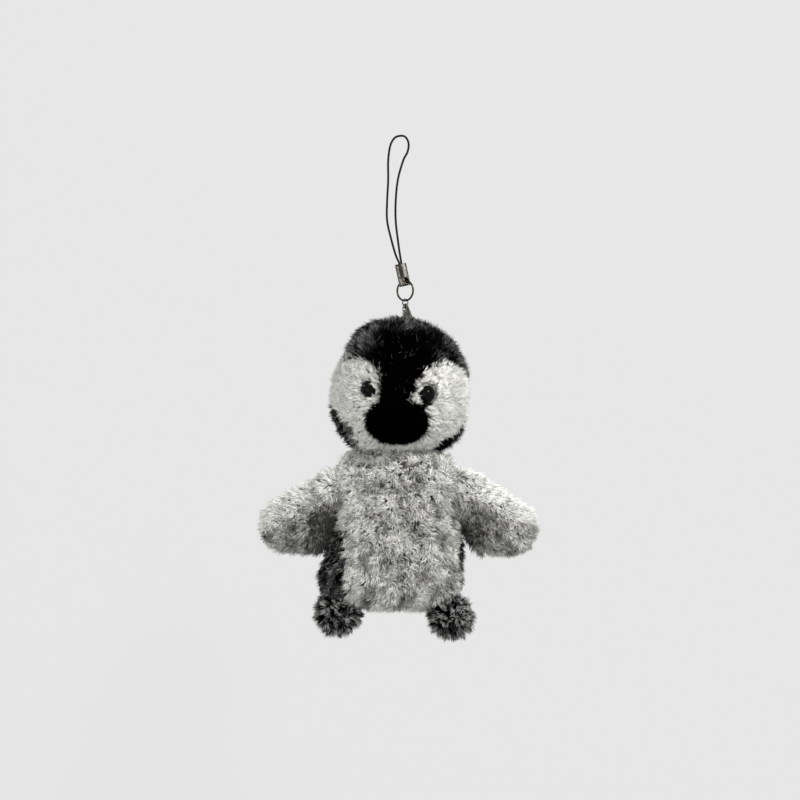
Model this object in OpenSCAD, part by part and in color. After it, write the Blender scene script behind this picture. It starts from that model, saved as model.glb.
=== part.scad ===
// Plush penguin chick on a strap: a furry hanging charm with a cord loop,
// a metal crimp, two rings, a short chain and a stuffed body.
// The part hangs from the inner top of its cord loop, which is the origin.
// +Z is up, +X is the viewer's right, and the face looks along -Y.

/* [Strap] */
// Diameter of the braided cord
cord_d = 1; // [0.9:0.1:1.1]
// Length of the metal crimp
crimp_l = 10.4; // [9.8:0.2:11]
// Width of the crimp across its face
crimp_w = 4.8; // [4.6:0.1:5.2]
// Depth of the crimp from front to back
crimp_d = 3.2; // [3:0.1:3.4]
// Wall of the crimp
crimp_wall = 0.5; // [0.4:0.05:0.55]
// Lean of the crimp, its top to the left
crimp_lean = 12; // [10:1:14]
// Radius of the eye through the foot of the crimp
crimp_eye_r = 1.1; // [1.1:0.05:1.2]

/* [Rings, chain and tab] */
// Outer diameter of the jump ring
jump_od = 10.2; // [9.8:0.1:10.6]
// Wire of the jump ring
jump_wire = 0.9; // [0.8:0.05:0.9]
// Turn of the jump ring about the vertical
jump_turn = -38; // [-42:1:-34]
// Outer diameter of the small ring
small_od = 3.6; // [3.5:0.1:3.8]
// Wire of the small ring
small_wire = 0.5; // [0.45:0.05:0.55]
// Turn of the small ring about the vertical
small_turn = 35; // [30:1:40]
// Length of one chain link
link_l = 2.3; // [2.2:0.1:2.4]
// Width of one chain link
link_w = 1.6; // [1.5:0.1:1.7]
// Wire of a chain link
link_wire = 0.35; // [0.3:0.05:0.35]
// Width of the tab where it enters the crown
tab_w = 4.8; // [4.4:0.1:5.2]
// Play between links, rings and the crimp
wire_play = 0.06; // [0.04:0.01:0.08]

/* [Head] */
// Width of the head over its pile
head_w = 62.4; // [60:0.2:64]
// Depth of the head from face to nape
head_d = 56; // [54:0.5:58]
// Height of the head above its widest line
head_up = 31; // [30:0.5:32]
// Height of the head below its widest line
head_down = 30; // [29:0.5:30.5]
// Thickness of the plush fabric with its pile
pile_t = 3; // [2.5:0.1:3.5]
// Radius of the white cheek patches
cheek_r = 22.5; // [21:0.5:24]
// Width of the beak
beak_w = 30; // [28:0.5:32]
// Height of the beak
beak_h = 18.6; // [17:0.2:20]
// Depth of the beak, a part of which lies within the face
beak_d = 24; // [22:0.5:26]
// How far the beak's middle stands in front of the head's centre
beak_y = 22; // [20:0.5:24]
// Diameter of the domed eyes
eye_d = 7.6; // [7:0.2:8]

/* [Body] */
// Width of the body over its pile
body_w = 66; // [62:0.5:68]
// Depth of the body
body_d = 46; // [42:0.5:50]
// Height of the body above its widest line
body_up = 48; // [46:0.5:48.5]
// Height of the body below its widest line
body_down = 22.5; // [21:0.5:23]
// Lean of the body, its foot to the left
body_lean = 3; // [0:0.5:4]
// Turn of the belly seam about the vertical
belly_turn = 11; // [8:1:14]
// How far the belly seam lies in front of the body's middle
belly_seam = 11; // [9:0.5:12]

/* [Flippers and feet] */
// Radius of a flipper at its root
root_r = 10; // [9:0.5:10.5]
// Radius of a flipper at its tip
tip_r = 14.5; // [13.5:0.5:15]
// Distance from the root's centre to the tip's centre
flipper_l = 27; // [25:0.5:28]
// Thickness of a flipper over its width
flipper_flat = 0.56; // [0.5:0.02:0.6]
// Droop of the flippers below level, in degrees
flipper_droop = 33; // [28:1:34]
// Radius of a foot over its pile
foot_r = 10.3; // [9.5:0.1:10.5]

/* [Hidden] */

$fn = 64;
// Points along each quarter of a stuffed form's profile
PROFILE_STEPS = 10;
// Larger than anything that it cuts
BIG = 200;

// Colours
BLACK = [0.03, 0.03, 0.03];
CHARCOAL = [0.16, 0.16, 0.16];
PALE = [0.82, 0.82, 0.78];
FROST = [0.68, 0.69, 0.68];
FIBRE = [0.94, 0.94, 0.93];
NICKEL = [0.46, 0.45, 0.42];
TAUPE = [0.42, 0.38, 0.34];

// ---- Places on the strap ----

// Middle of the crimp's top
CRIMP_TOP = [0.2, 0, -59.2];
// Length of the crimp that grips the cord, and how far it bites
CRIMP_GRIP = 4.4;
CORD_BITE = 0.1;
// The jump ring hangs by its top in the eye of the crimp
JUMP_R = (jump_od - jump_wire) / 2;
HANG_X = 2.4;
HANG_Y = -0.5;
JUMP_TOP_Z = -67;
JUMP_C = [HANG_X, HANG_Y, JUMP_TOP_Z - JUMP_R];
// The eye is centred on the middle of the arc of wire inside the crimp
CRIMP_EYE_Z = JUMP_TOP_Z - 0.4;
// The small ring hooks over the foot of the jump ring
SMALL_R = (small_od - small_wire) / 2;
SMALL_TOP_Z = JUMP_C.z - JUMP_R + (jump_wire + small_wire) / 2 + wire_play;
SMALL_C = [HANG_X, HANG_Y, SMALL_TOP_Z - SMALL_R];
// Angles from the small ring's lowest point to the tab and the chain
TAB_AT = 25;
CHAIN_AT = -30;
TAB_TOP = small_ring_point(TAB_AT);
CHAIN_TOP = small_ring_point(CHAIN_AT);
// Each link hangs on the one above by its wire, and the first a little higher,
// because the small ring's wire slopes where it hangs
LINK_PITCH = link_l - 2 * link_wire - wire_play;
LINK_RISE = 0.63;

// The tab's loop, set a little above the sloping wire's middle
TAB_LOOP_R = 1.05;
TAB_LOOP_W = 1;
TAB_BORE_R = 0.7;
TAB_BORE_LIFT = 0.12;
// The blade below the loop: its middle, front face, thickness, neck, seam and sewn length
TAB_X = 3.6;
TAB_FRONT = 0.3;
TAB_T = 1;
TAB_NECK_W = 1.8;
TAB_NECK_Z = TAB_TOP.z - 2;
TAB_FOLD_H = 0.4;
TAB_SEAM_Z = -84.8;
TAB_SEWN = 3.5;

// ---- Places on the toy ----

HEAD_C = [-0.2, 0, -116];
HEAD_POWER_UP = 2;
HEAD_POWER_DOWN = 3;
// The seam between the crown and the back of the head
HEAD_SEAM_Y = 4;
// How far in front of the head's middle the cheeks end
CHEEK_EDGE_Y = 3;
CHEEK_X = 18;
CHEEK_Z = -121.5;
// The black stripe between the cheeks, from the crown down to under the beak
STRIPE = [
    [-10, -94], [-8.5, -106], [-7.5, -118], [-8, -126], [0, -146],
    [6, -126], [4.5, -118], [10, -106], [11.5, -94]
];
BEAK_POWER = 2.3;
BEAK_PILE = 2;
BEAK_C = [-1.4, -beak_y, -133.7];
EYE_LEFT = [-15.2, -117.7];
EYE_RIGHT = [13.4, -119.4];
EYE_H = 2.6;
EYE_SINK = 1.2;
EYE_POST_D = 2.2;
EYE_POST_L = 8;
WASHER_D = 9;
WASHER_T = 1.4;
WASHER_AT = 4.8;
NECK = [0, 0, -146.8];
// Space between the head and the body's top, for the neck to bend
NECK_GAP = 0.9;
BODY_POWER_UP = 2.4;
BODY_POWER_DOWN = 3;
FLIPPER_PILE = 2.5;
// Opening at the top of each foot where its fabric is gathered
ANKLE_R = 3;
ROOT_LEFT = [-30, 0, -164.5];
ROOT_RIGHT = [29.5, 0, -164.5];
FOOT_LEFT = [-29, -5, -224.7];
FOOT_RIGHT = [24, -5, -226.2];
// Space left between soft pieces that move against each other
SOFT_GAP = 0.6;
// How far the flippers swing down, which the body's sides make room for
FLIPPER_DOWN = 20;

// The cord's route, from inside the crimp, round the loop and back
CORD_ROUTE = [
    [0.3, 0, -62], [-0.3, 0, -59], [-2, 0, -55], [-4, 0, -48], [-6, 0, -39], [-6, 0.5, -30],
    [-5.5, 0.5, -20], [-5.5, 0, -11], [-4.5, 0, -4], [-2.5, 0, -0.5], [0, 0, 0.5], [2.5, 0, 0],
    [4, 0, -3], [3.5, 0, -7], [1.5, 0, -11], [-1, -0.5, -20], [-2, -0.5, -30], [-2, 0, -39],
    [-1, 0, -48], [0, 0, -55], [0.7, 0, -59], [1.3, 0, -62]
];
CORD_SIDES = 8;
CORD_STEPS = 3;

function small_ring_point(a) =
    SMALL_C + SMALL_R * [sin(a) * cos(small_turn), sin(a) * sin(small_turn), -cos(a)];

// ---- Curves and sweeps ----

// A point of the Catmull-Rom curve through p, between its points i and i + 1
function curve_point(p, i, t) =
    let (
        last = len(p) - 1,
        a = p[max(i - 1, 0)], b = p[i], c = p[i + 1], d = p[min(i + 2, last)]
    )
    0.5 * (2 * b + (c - a) * t + (2 * a - 5 * b + 4 * c - d) * t * t
        + (3 * b - a - 3 * c + d) * t * t * t);

// The curve through p, with steps points to each stretch
function curve(p, steps) = concat(
    [for (i = [0 : len(p) - 2], k = [0 : steps - 1]) curve_point(p, i, k / steps)],
    [p[len(p) - 1]]
);

// The direction of a path at point i
function heading(p, i) =
    let (v = p[min(i + 1, len(p) - 1)] - p[max(i - 1, 0)]) v / norm(v);

// A ring of points square to the path at point i. The path lies near the XZ plane,
// so Y is a safe side direction all along it.
function path_ring(p, i, r, sides) =
    let (
        t = heading(p, i),
        u = cross(t, [0, 1, 0]) / norm(cross(t, [0, 1, 0])),
        v = cross(t, u)
    )
    [for (k = [0 : sides - 1]) p[i] + r * (cos(360 * k / sides) * u + sin(360 * k / sides) * v)];

// A closed tube of the given radius along a path
module tube_along(p, r, sides) {
    n = len(p);
    points = [for (i = [0 : n - 1]) each path_ring(p, i, r, sides)];
    walls = [
        for (i = [0 : n - 2], k = [0 : sides - 1])
            let (a = i * sides + k, b = i * sides + (k + 1) % sides)
            [a, b, b + sides, a + sides]
    ];
    start_cap = [for (k = [sides - 1 : -1 : 0]) k];
    end_cap = [for (k = [0 : sides - 1]) (n - 1) * sides + k];
    polyhedron(points, concat([start_cap, end_cap], walls));
}

// ---- Stuffed forms ----

// A quarter of a superellipse with half-axes a and b, from [a, 0] to [0, b]
function quarter(a, b, power) = [
    for (i = [0 : PROFILE_STEPS])
        let (t = 90 * i / PROFILE_STEPS)
        [a * pow(cos(t), 2 / power), b * pow(sin(t), 2 / power)]
];

// A round form made as two halves, so that it stays exact when it is flattened
module spun() {
    for (start = [0, 180]) {
        rotate([0, 0, start])
            rotate_extrude(angle = 180)
                children();
    }
}

// A plump form: width w, depth d, with its widest line at z = 0
module plump(w, d, up, down, power_up, power_down) {
    lower = [for (p = quarter(w / 2, down, power_down)) [p.x, -p.y]];
    profile = concat(
        [for (i = [PROFILE_STEPS : -1 : 1]) lower[i]],
        quarter(w / 2, up, power_up)
    );
    scale([1, d / w, 1])
        spun()
            polygon(profile);
}

// A flattened pad with a round root at the origin and a larger round tip along -X
module pad(r1, r2, l, flat) {
    slope = asin((r2 - r1) / l);
    root_arc = [for (i = [0 : PROFILE_STEPS]) let (t = -90 + i * (90 - slope) / PROFILE_STEPS)
        [r1 * cos(t), r1 * sin(t)]];
    tip_arc = [for (i = [0 : PROFILE_STEPS]) let (t = -slope + i * (90 + slope) / PROFILE_STEPS)
        [r2 * cos(t), l + r2 * sin(t)]];
    scale([1, flat, 1])
        rotate([0, -90, 0])
            spun()
                polygon(concat(root_arc, tip_arc));
}

// ---- Metal pieces ----

// A wire ring standing upright, turned about the vertical
module wire_ring(centre, turn, r, wire) {
    translate(centre)
        rotate([90, 0, turn])
            rotate_extrude()
                translate([r, 0])
                    circle(d = wire);
}

// A bar with rounded edges, from its top at z = top down to z = top - l
module rounded_bar(w, d, top, l) {
    side = (w - d) / 2;
    translate([-side, -d / 2, top - l])
        cube([2 * side, d, l]);
    for (x = [-side, side]) {
        translate([x, 0, top - l])
            cylinder(d = d, h = l);
    }
}

module cord_crimp() {
    seam_w = 0.5;
    seam_depth = 0.25;
    color(NICKEL)
        difference() {
            translate(CRIMP_TOP)
                rotate([0, -crimp_lean, 0])
                    difference() {
                        rounded_bar(crimp_w, crimp_d, 0, crimp_l);
                        // throat that grips the two cord ends
                        rounded_bar(
                            2 * cord_d - CORD_BITE, cord_d - CORD_BITE, 1, crimp_l
                        );
                        // hollow that the jump ring swings in
                        rounded_bar(
                            crimp_w - 2 * crimp_wall, crimp_d - 2 * crimp_wall,
                            -CRIMP_GRIP, crimp_l
                        );
                        // seam where the folded flaps meet
                        translate([-seam_w / 2, -crimp_d / 2 - 1, -crimp_l - 1])
                            cube([seam_w, 1 + seam_depth, crimp_l + 2]);
                    }
            // eye that the jump ring passes through
            translate([HANG_X, HANG_Y, CRIMP_EYE_Z])
                rotate([0, 90, jump_turn])
                    cylinder(r = crimp_eye_r, h = 4 * crimp_w, center = true);
        }
}

module strap_cord() {
    color(BLACK)
        tube_along(curve(CORD_ROUTE, CORD_STEPS), cord_d / 2, CORD_SIDES);
}

module jump_ring() {
    color(NICKEL)
        wire_ring(JUMP_C, jump_turn, JUMP_R, jump_wire);
}

module small_ring() {
    color(NICKEL)
        wire_ring(SMALL_C, small_turn, SMALL_R, small_wire);
}

// A long link in the XZ plane, hanging from the middle of its top bend
module chain_link() {
    bend_r = (link_w - link_wire) / 2;
    straight = link_l - link_w;
    for (end = [0, 1]) {
        translate([0, 0, -bend_r - end * straight])
            rotate([90, 180 * end, 0])
                rotate_extrude(angle = 180)
                    translate([bend_r, 0])
                        circle(d = link_wire);
    }
    for (side = [-1, 1]) {
        translate([side * bend_r, 0, -bend_r - straight])
            cylinder(d = link_wire, h = straight);
    }
}

// Links alternate between standing square to the small ring and flat with it
module hung_link(index) {
    turn = index % 2 == 0 ? small_turn + 90 : small_turn;
    color(NICKEL)
        translate(CHAIN_TOP + [0, 0, LINK_RISE - index * LINK_PITCH])
            rotate([0, 0, turn])
                chain_link();
}

// ---- Hanging tab ----

// A folded strip: a loop around the small ring that widens into a blade sewn in the crown
module tab_form(bored = true) {
    color(TAUPE)
        difference() {
            union() {
                hull() {
                    tab_loop(TAB_LOOP_R);
                    translate([TAB_X - TAB_NECK_W / 2, TAB_FRONT, TAB_NECK_Z - TAB_FOLD_H])
                        cube([TAB_NECK_W, TAB_T, TAB_FOLD_H]);
                }
                translate([TAB_X, TAB_FRONT + TAB_T, 0])
                    rotate([90, 0, 0])
                        linear_extrude(TAB_T)
                            tab_blade();
            }
            if (bored)
                tab_loop(TAB_BORE_R, 2);
        }
}

// The blade's outline, from its narrow neck to its sewn foot
module tab_blade() {
    foot_z = TAB_SEAM_Z - TAB_SEWN;
    polygon([
        [-TAB_NECK_W / 2, TAB_NECK_Z], [-tab_w / 2, TAB_SEAM_Z], [-tab_w / 2, foot_z],
        [tab_w / 2, foot_z], [tab_w / 2, TAB_SEAM_Z], [TAB_NECK_W / 2, TAB_NECK_Z]
    ]);
}

// A cylinder along the loop's own line: the loop itself, or its bore
module tab_loop(r, w = 1) {
    translate(TAB_TOP + [0, 0, TAB_BORE_LIFT])
        rotate([0, 90, small_turn])
            cylinder(r = r, h = w * TAB_LOOP_W, center = true);
}

module hang_tab() {
    tab_form();
}

// ---- Head ----

module head_form(grow = 0) {
    translate(HEAD_C)
        plump(
            head_w + 2 * grow, head_d + 2 * grow, head_up + grow, head_down + grow,
            HEAD_POWER_UP, HEAD_POWER_DOWN
        );
}

module head_shell() {
    difference() {
        head_form();
        head_form(-pile_t);
    }
}

// The area of one white cheek, as seen from the front
module cheek_patch(side) {
    translate([0, -CHEEK_EDGE_Y, 0])
        rotate([90, 0, 0])
            linear_extrude(head_d)
                difference() {
                    intersection() {
                        translate([CHEEK_X * side, CHEEK_Z])
                            circle(cheek_r);
                        translate([side < 0 ? -BIG : 0, -BIG])
                            square(BIG);
                    }
                    polygon(STRIPE);
                }
}

module cheek(side) {
    color(PALE)
        difference() {
            intersection() {
                head_shell();
                cheek_patch(side);
            }
            eye_seat(side < 0 ? EYE_LEFT : EYE_RIGHT);
        }
}

module head_crown() {
    color(BLACK)
        difference() {
            head_shell();
            translate([-BIG / 2, HEAD_SEAM_Y, -BIG])
                cube(BIG);
            cheek_patch(-1);
            cheek_patch(1);
            tab_form(bored = false);
        }
}

module head_back() {
    color(CHARCOAL)
        intersection() {
            head_shell();
            translate([-BIG / 2, HEAD_SEAM_Y, -BIG])
                cube(BIG);
        }
}

module head_stuffing() {
    color(FIBRE)
        difference() {
            head_form(-pile_t);
            tab_form(bored = false);
            for (eye = [EYE_LEFT, EYE_RIGHT]) {
                at_eye(eye) {
                    eye_post();
                    washer_disc();
                }
            }
        }
}

// ---- Beak ----

module beak_form(grow = 0) {
    translate(BEAK_C)
        plump(
            beak_w + 2 * grow, beak_d + 2 * grow, beak_h / 2 + grow, beak_h / 2 + grow,
            BEAK_POWER, BEAK_POWER
        );
}

module beak_cover() {
    color(BLACK)
        difference() {
            beak_form();
            beak_form(-BEAK_PILE);
            head_form();
        }
}

module beak_stuffing() {
    color(FIBRE)
        difference() {
            beak_form(-BEAK_PILE);
            head_form();
        }
}

// ---- Eyes ----

// How far in front of the head's middle its face lies at x, z
function face_y(x, z) =
    let (
        dz = z - HEAD_C.z,
        share = dz > 0 ? dz / head_up : -dz / head_down,
        power = dz > 0 ? HEAD_POWER_UP : HEAD_POWER_DOWN,
        r = head_w / 2 * pow(1 - pow(share, power), 1 / power)
    )
    head_d / head_w * sqrt(r * r - (x - HEAD_C.x) ^ 2);

// Puts its children on the face at an eye's place, with +Z outwards
module at_eye(eye) {
    dx = eye.x - HEAD_C.x;
    y = face_y(eye.x, eye.y);
    turn = atan2(dx / head_w ^ 2, y / head_d ^ 2);
    translate([eye.x, -y, eye.y])
        rotate([90, 0, turn])
            children();
}

module eye_post() {
    translate([0, 0, -EYE_POST_L])
        cylinder(d = EYE_POST_D, h = EYE_POST_L - EYE_SINK);
}

module washer_disc() {
    translate([0, 0, -WASHER_AT])
        cylinder(d = WASHER_D, h = WASHER_T);
}

module eye_dome() {
    sphere_r = ((eye_d / 2) ^ 2 + EYE_H ^ 2) / (2 * EYE_H);
    intersection() {
        translate([0, 0, EYE_H - EYE_SINK - sphere_r])
            sphere(sphere_r);
        translate([0, 0, -EYE_SINK])
            cylinder(d = 2 * eye_d, h = 2 * EYE_H);
    }
}

// What an eye takes out of the fabric that it stands in
module eye_seat(eye) {
    at_eye(eye) {
        eye_post();
        translate([0, 0, -EYE_SINK])
            cylinder(d = eye_d, h = 4 * EYE_H);
    }
}

module domed_eye(eye) {
    color(BLACK)
        at_eye(eye) {
            eye_dome();
            eye_post();
        }
}

module eye_washer(eye) {
    color(FIBRE)
        at_eye(eye)
            difference() {
                washer_disc();
                eye_post();
            }
}

// ---- Body ----

module body_form(grow = 0) {
    translate(NECK)
        rotate([0, body_lean, 0])
            translate([0, 0, -NECK_GAP - body_up])
                plump(
                    body_w + 2 * grow, body_d + 2 * grow, body_up + grow, body_down + grow,
                    BODY_POWER_UP, BODY_POWER_DOWN
                );
}

// Hollows at the body's sides that the flippers rest in and swing down through
module flipper_room() {
    for (side = [-1, 1], swing = [0, -FLIPPER_DOWN]) {
        flipper_form(side, SOFT_GAP, swing);
    }
}

module belly_side() {
    rotate([0, 0, belly_turn])
        translate([-BIG / 2, -BIG - belly_seam, -2 * BIG])
            cube([BIG, BIG, 2 * BIG]);
}

module belly_panel() {
    color(FROST)
        difference() {
            intersection() {
                body_form();
                belly_side();
            }
            body_form(-pile_t);
            flipper_room();
        }
}

module back_panel() {
    color(CHARCOAL)
        difference() {
            body_form();
            belly_side();
            body_form(-pile_t);
            flipper_room();
        }
}

module body_stuffing() {
    color(FIBRE)
        difference() {
            body_form(-pile_t);
            flipper_room();
        }
}

// ---- Flippers ----

// One flipper, swung up from its rest by swing degrees
module flipper_form(side, grow = 0, swing = 0) {
    translate(side < 0 ? ROOT_LEFT : ROOT_RIGHT)
        mirror([side < 0 ? 0 : 1, 0, 0])
            rotate([0, swing - flipper_droop, 0])
                pad(root_r + grow, tip_r + grow, flipper_l, flipper_flat);
}

// The fabric of one face of a flipper: front is 1 for its front face and 0 for its back
module flipper_face(side, front) {
    color(FROST)
        intersection() {
            difference() {
                flipper_form(side);
                flipper_form(side, -FLIPPER_PILE);
            }
            translate([-BIG / 2, -BIG * front, -2 * BIG])
                cube([BIG, BIG, 2 * BIG]);
        }
}

module flipper_stuffing(side) {
    color(FIBRE)
        flipper_form(side, -FLIPPER_PILE);
}

// ---- Feet ----

module foot_cover(place) {
    color(CHARCOAL)
        translate(place)
            difference() {
                sphere(foot_r);
                sphere(foot_r - pile_t);
                cylinder(r = ANKLE_R, h = 2 * foot_r);
            }
}

// The stuffing reaches up through the gathered opening at the ankle
module foot_stuffing(place) {
    color(FIBRE)
        translate(place) {
            sphere(foot_r - pile_t);
            intersection() {
                sphere(foot_r);
                cylinder(r = ANKLE_R, h = 2 * foot_r);
            }
        }
}

strap_cord();
cord_crimp();
jump_ring();
small_ring();
hung_link(0);  // chain_link_1
hung_link(1);  // chain_link_2
hung_link(2);  // chain_link_3
hang_tab();
head_crown();
head_back();
cheek(-1);  // cheek_left
cheek(1);  // cheek_right
head_stuffing();
beak_cover();
beak_stuffing();
domed_eye(EYE_LEFT);  // eye_left
domed_eye(EYE_RIGHT);  // eye_right
eye_washer(EYE_LEFT);  // eye_washer_left
eye_washer(EYE_RIGHT);  // eye_washer_right
belly_panel();
back_panel();
body_stuffing();
flipper_face(-1, 1);  // flipper_left_front
flipper_face(-1, 0);  // flipper_left_back
flipper_stuffing(-1);  // flipper_left_stuffing
flipper_face(1, 1);  // flipper_right_front
flipper_face(1, 0);  // flipper_right_back
flipper_stuffing(1);  // flipper_right_stuffing
foot_cover(FOOT_LEFT);  // foot_left_cover
foot_stuffing(FOOT_LEFT);  // foot_left_stuffing
foot_cover(FOOT_RIGHT);  // foot_right_cover
foot_stuffing(FOOT_RIGHT);  // foot_right_stuffing
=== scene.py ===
"""The dressed model of a plush penguin chick that hangs on a cord strap.

Stuffed forms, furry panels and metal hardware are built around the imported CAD
frame. Working sizes are in millimetres, and the meshes are in metres.
"""

import logging
import math
from dataclasses import dataclass
from enum import Enum
from typing import Callable, ClassVar, Sequence

import bmesh
import bpy
import numpy as np
from mathutils import Matrix, Vector
from mathutils.bvhtree import BVHTree
from mathutils.kdtree import KDTree


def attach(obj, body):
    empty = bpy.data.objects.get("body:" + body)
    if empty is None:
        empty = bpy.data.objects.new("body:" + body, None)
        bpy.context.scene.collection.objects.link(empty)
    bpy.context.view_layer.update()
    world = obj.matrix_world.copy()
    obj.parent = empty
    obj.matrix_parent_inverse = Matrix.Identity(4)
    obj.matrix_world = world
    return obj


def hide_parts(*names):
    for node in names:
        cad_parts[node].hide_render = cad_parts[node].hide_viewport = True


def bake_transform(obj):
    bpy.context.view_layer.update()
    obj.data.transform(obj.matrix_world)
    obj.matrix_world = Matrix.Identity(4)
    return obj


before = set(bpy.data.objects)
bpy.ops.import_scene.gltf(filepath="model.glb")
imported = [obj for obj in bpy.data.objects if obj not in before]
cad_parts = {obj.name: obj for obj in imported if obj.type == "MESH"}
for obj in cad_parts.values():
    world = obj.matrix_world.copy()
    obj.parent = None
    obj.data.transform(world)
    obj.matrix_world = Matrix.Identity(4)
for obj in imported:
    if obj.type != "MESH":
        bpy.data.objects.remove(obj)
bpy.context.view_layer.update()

LOG = logging.getLogger("penguin")
MM = 0.001
PILE_UV = "OFBake"
# Name of the mesh attribute that marks painted shade, where a lower value marks painted highlight
PAINTED_SHADE = "grime"
SMALL = 1e-9

Colour = tuple[float, float, float]
Point = tuple[float, float, float]
Array = np.ndarray
Zone = Callable[[Array], Array]
Comb = Callable[[Array], Array]
Tone = Callable[[Array], Array]


# ---- Small sums on arrays ----


def smooth(low: float, high: float, values: Array | float) -> Array | float:
    """A smooth step of values from 0 at low to 1 at high.

    Args:
        low: Where the step starts.
        high: Where the step ends, which may be below low.
        values: What is stepped: an array or one number.

    Returns:
        What values are, but from 0 to 1.
    """
    t = np.clip((values - low) / (high - low), 0.0, 1.0)
    return t * t * (3.0 - 2.0 * t)


def unit(vectors: Array) -> Array:
    """Rows of vectors, each made one long."""
    return vectors / np.maximum(np.linalg.norm(vectors, axis=1, keepdims=True), SMALL)


def flat_to(vectors: Array, normals: Array) -> Array:
    """Rows of vectors laid into the planes square to normals, one long."""
    return unit(vectors - (vectors * normals).sum(1, keepdims=True) * normals)


def bell(value: float, middle: float, width: float) -> float:
    """A soft peak: 1 where a number is at its middle, and near 0 past twice its width."""
    return math.exp(-(((value - middle) / width) ** 2))


def peak(values: Array, middle: float, width: float) -> Array:
    """The same soft peak for an array."""
    return np.exp(-(((values - middle) / width) ** 2))


def spot(p: Array, x: float, z: float, wide: float, tall: float) -> Array:
    """A soft oval spot, as seen from the front: 1 at its middle."""
    return np.exp(-(((p[:, 0] - x) / wide) ** 2 + ((p[:, 2] - z) / tall) ** 2))


def turned(degrees: float, axis: str) -> Matrix:
    """A turn about an axis."""
    return Matrix.Rotation(math.radians(degrees), 3, axis)


@dataclass
class Drift:
    """A smooth random field in space, made of a few waves.

    Args:
        seed: Sets the waves.
        scale: About the size of one patch, in millimetres.
        waves: How many waves are added.
    """

    HEIGHT: ClassVar[float] = 0.7
    PITCHES: ClassVar[tuple[float, float]] = (0.6, 1.5)

    seed: int
    scale: float
    waves: int = 9

    def __post_init__(self) -> None:
        """Draws the waves."""
        rng = np.random.default_rng(self.seed)
        heading = unit(rng.normal(size=(self.waves, 3)))
        self.pitch = heading * rng.uniform(*self.PITCHES, (self.waves, 1))
        self.phase = rng.uniform(0, 2 * math.pi, self.waves)

    def at(self, points: Array) -> Array:
        """The field at points, about -1 to 1 and 0 on average."""
        angle = points @ self.pitch.T * (math.pi / self.scale) + self.phase
        return np.sin(angle).sum(1) * math.sqrt(2.0 / self.waves) * self.HEIGHT


@dataclass
class Swirl:
    """A smooth random field of directions, from three drifts."""

    seed: int
    scale: float

    def at(self, points: Array) -> Array:
        """The direction at each point, as rows."""
        fields = [Drift(self.seed + k, self.scale).at(points) for k in range(3)]
        return np.stack(fields, axis=1)


@dataclass(frozen=True)
class Varied:
    """Two random fields that vary what they are added to, one broad and one fine."""

    broad: Drift | Swirl
    fine: Drift | Swirl

    def on(self, base: Array | float, p: Array, broad: float, fine: float) -> Array:
        """Adds the fields to a base.

        Args:
            base: A level or a direction, for all points or for each.
            p: The points.
            broad: How much of the broad field is added.
            fine: How much of the fine field is added.

        Returns:
            What base is, varied at each point.
        """
        return base + broad * self.broad.at(p) + fine * self.fine.at(p)


# ---- Shader graphs ----


class Sock:
    """A number in a shader graph, which adds Math nodes as it is reckoned with."""

    def __init__(self, graph: "Graph", socket: bpy.types.NodeSocket) -> None:
        """Wraps one output socket of a graph."""
        self.graph = graph
        self.socket = socket

    def _with(self, operation: str, first: object, second: object) -> "Sock":
        """Adds one Math node."""
        return self.graph.node(
            "ShaderNodeMath", {"operation": operation}, {0: first, 1: second}
        )

    def __add__(self, other: object) -> "Sock":
        """Sum."""
        return self._with("ADD", self, other)

    __radd__ = __add__

    def __sub__(self, other: object) -> "Sock":
        """Difference."""
        return self._with("SUBTRACT", self, other)

    def __rsub__(self, other: object) -> "Sock":
        """Difference from a plain number."""
        return self._with("SUBTRACT", other, self)

    def __mul__(self, other: object) -> "Sock":
        """Product."""
        return self._with("MULTIPLY", self, other)

    __rmul__ = __mul__


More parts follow.
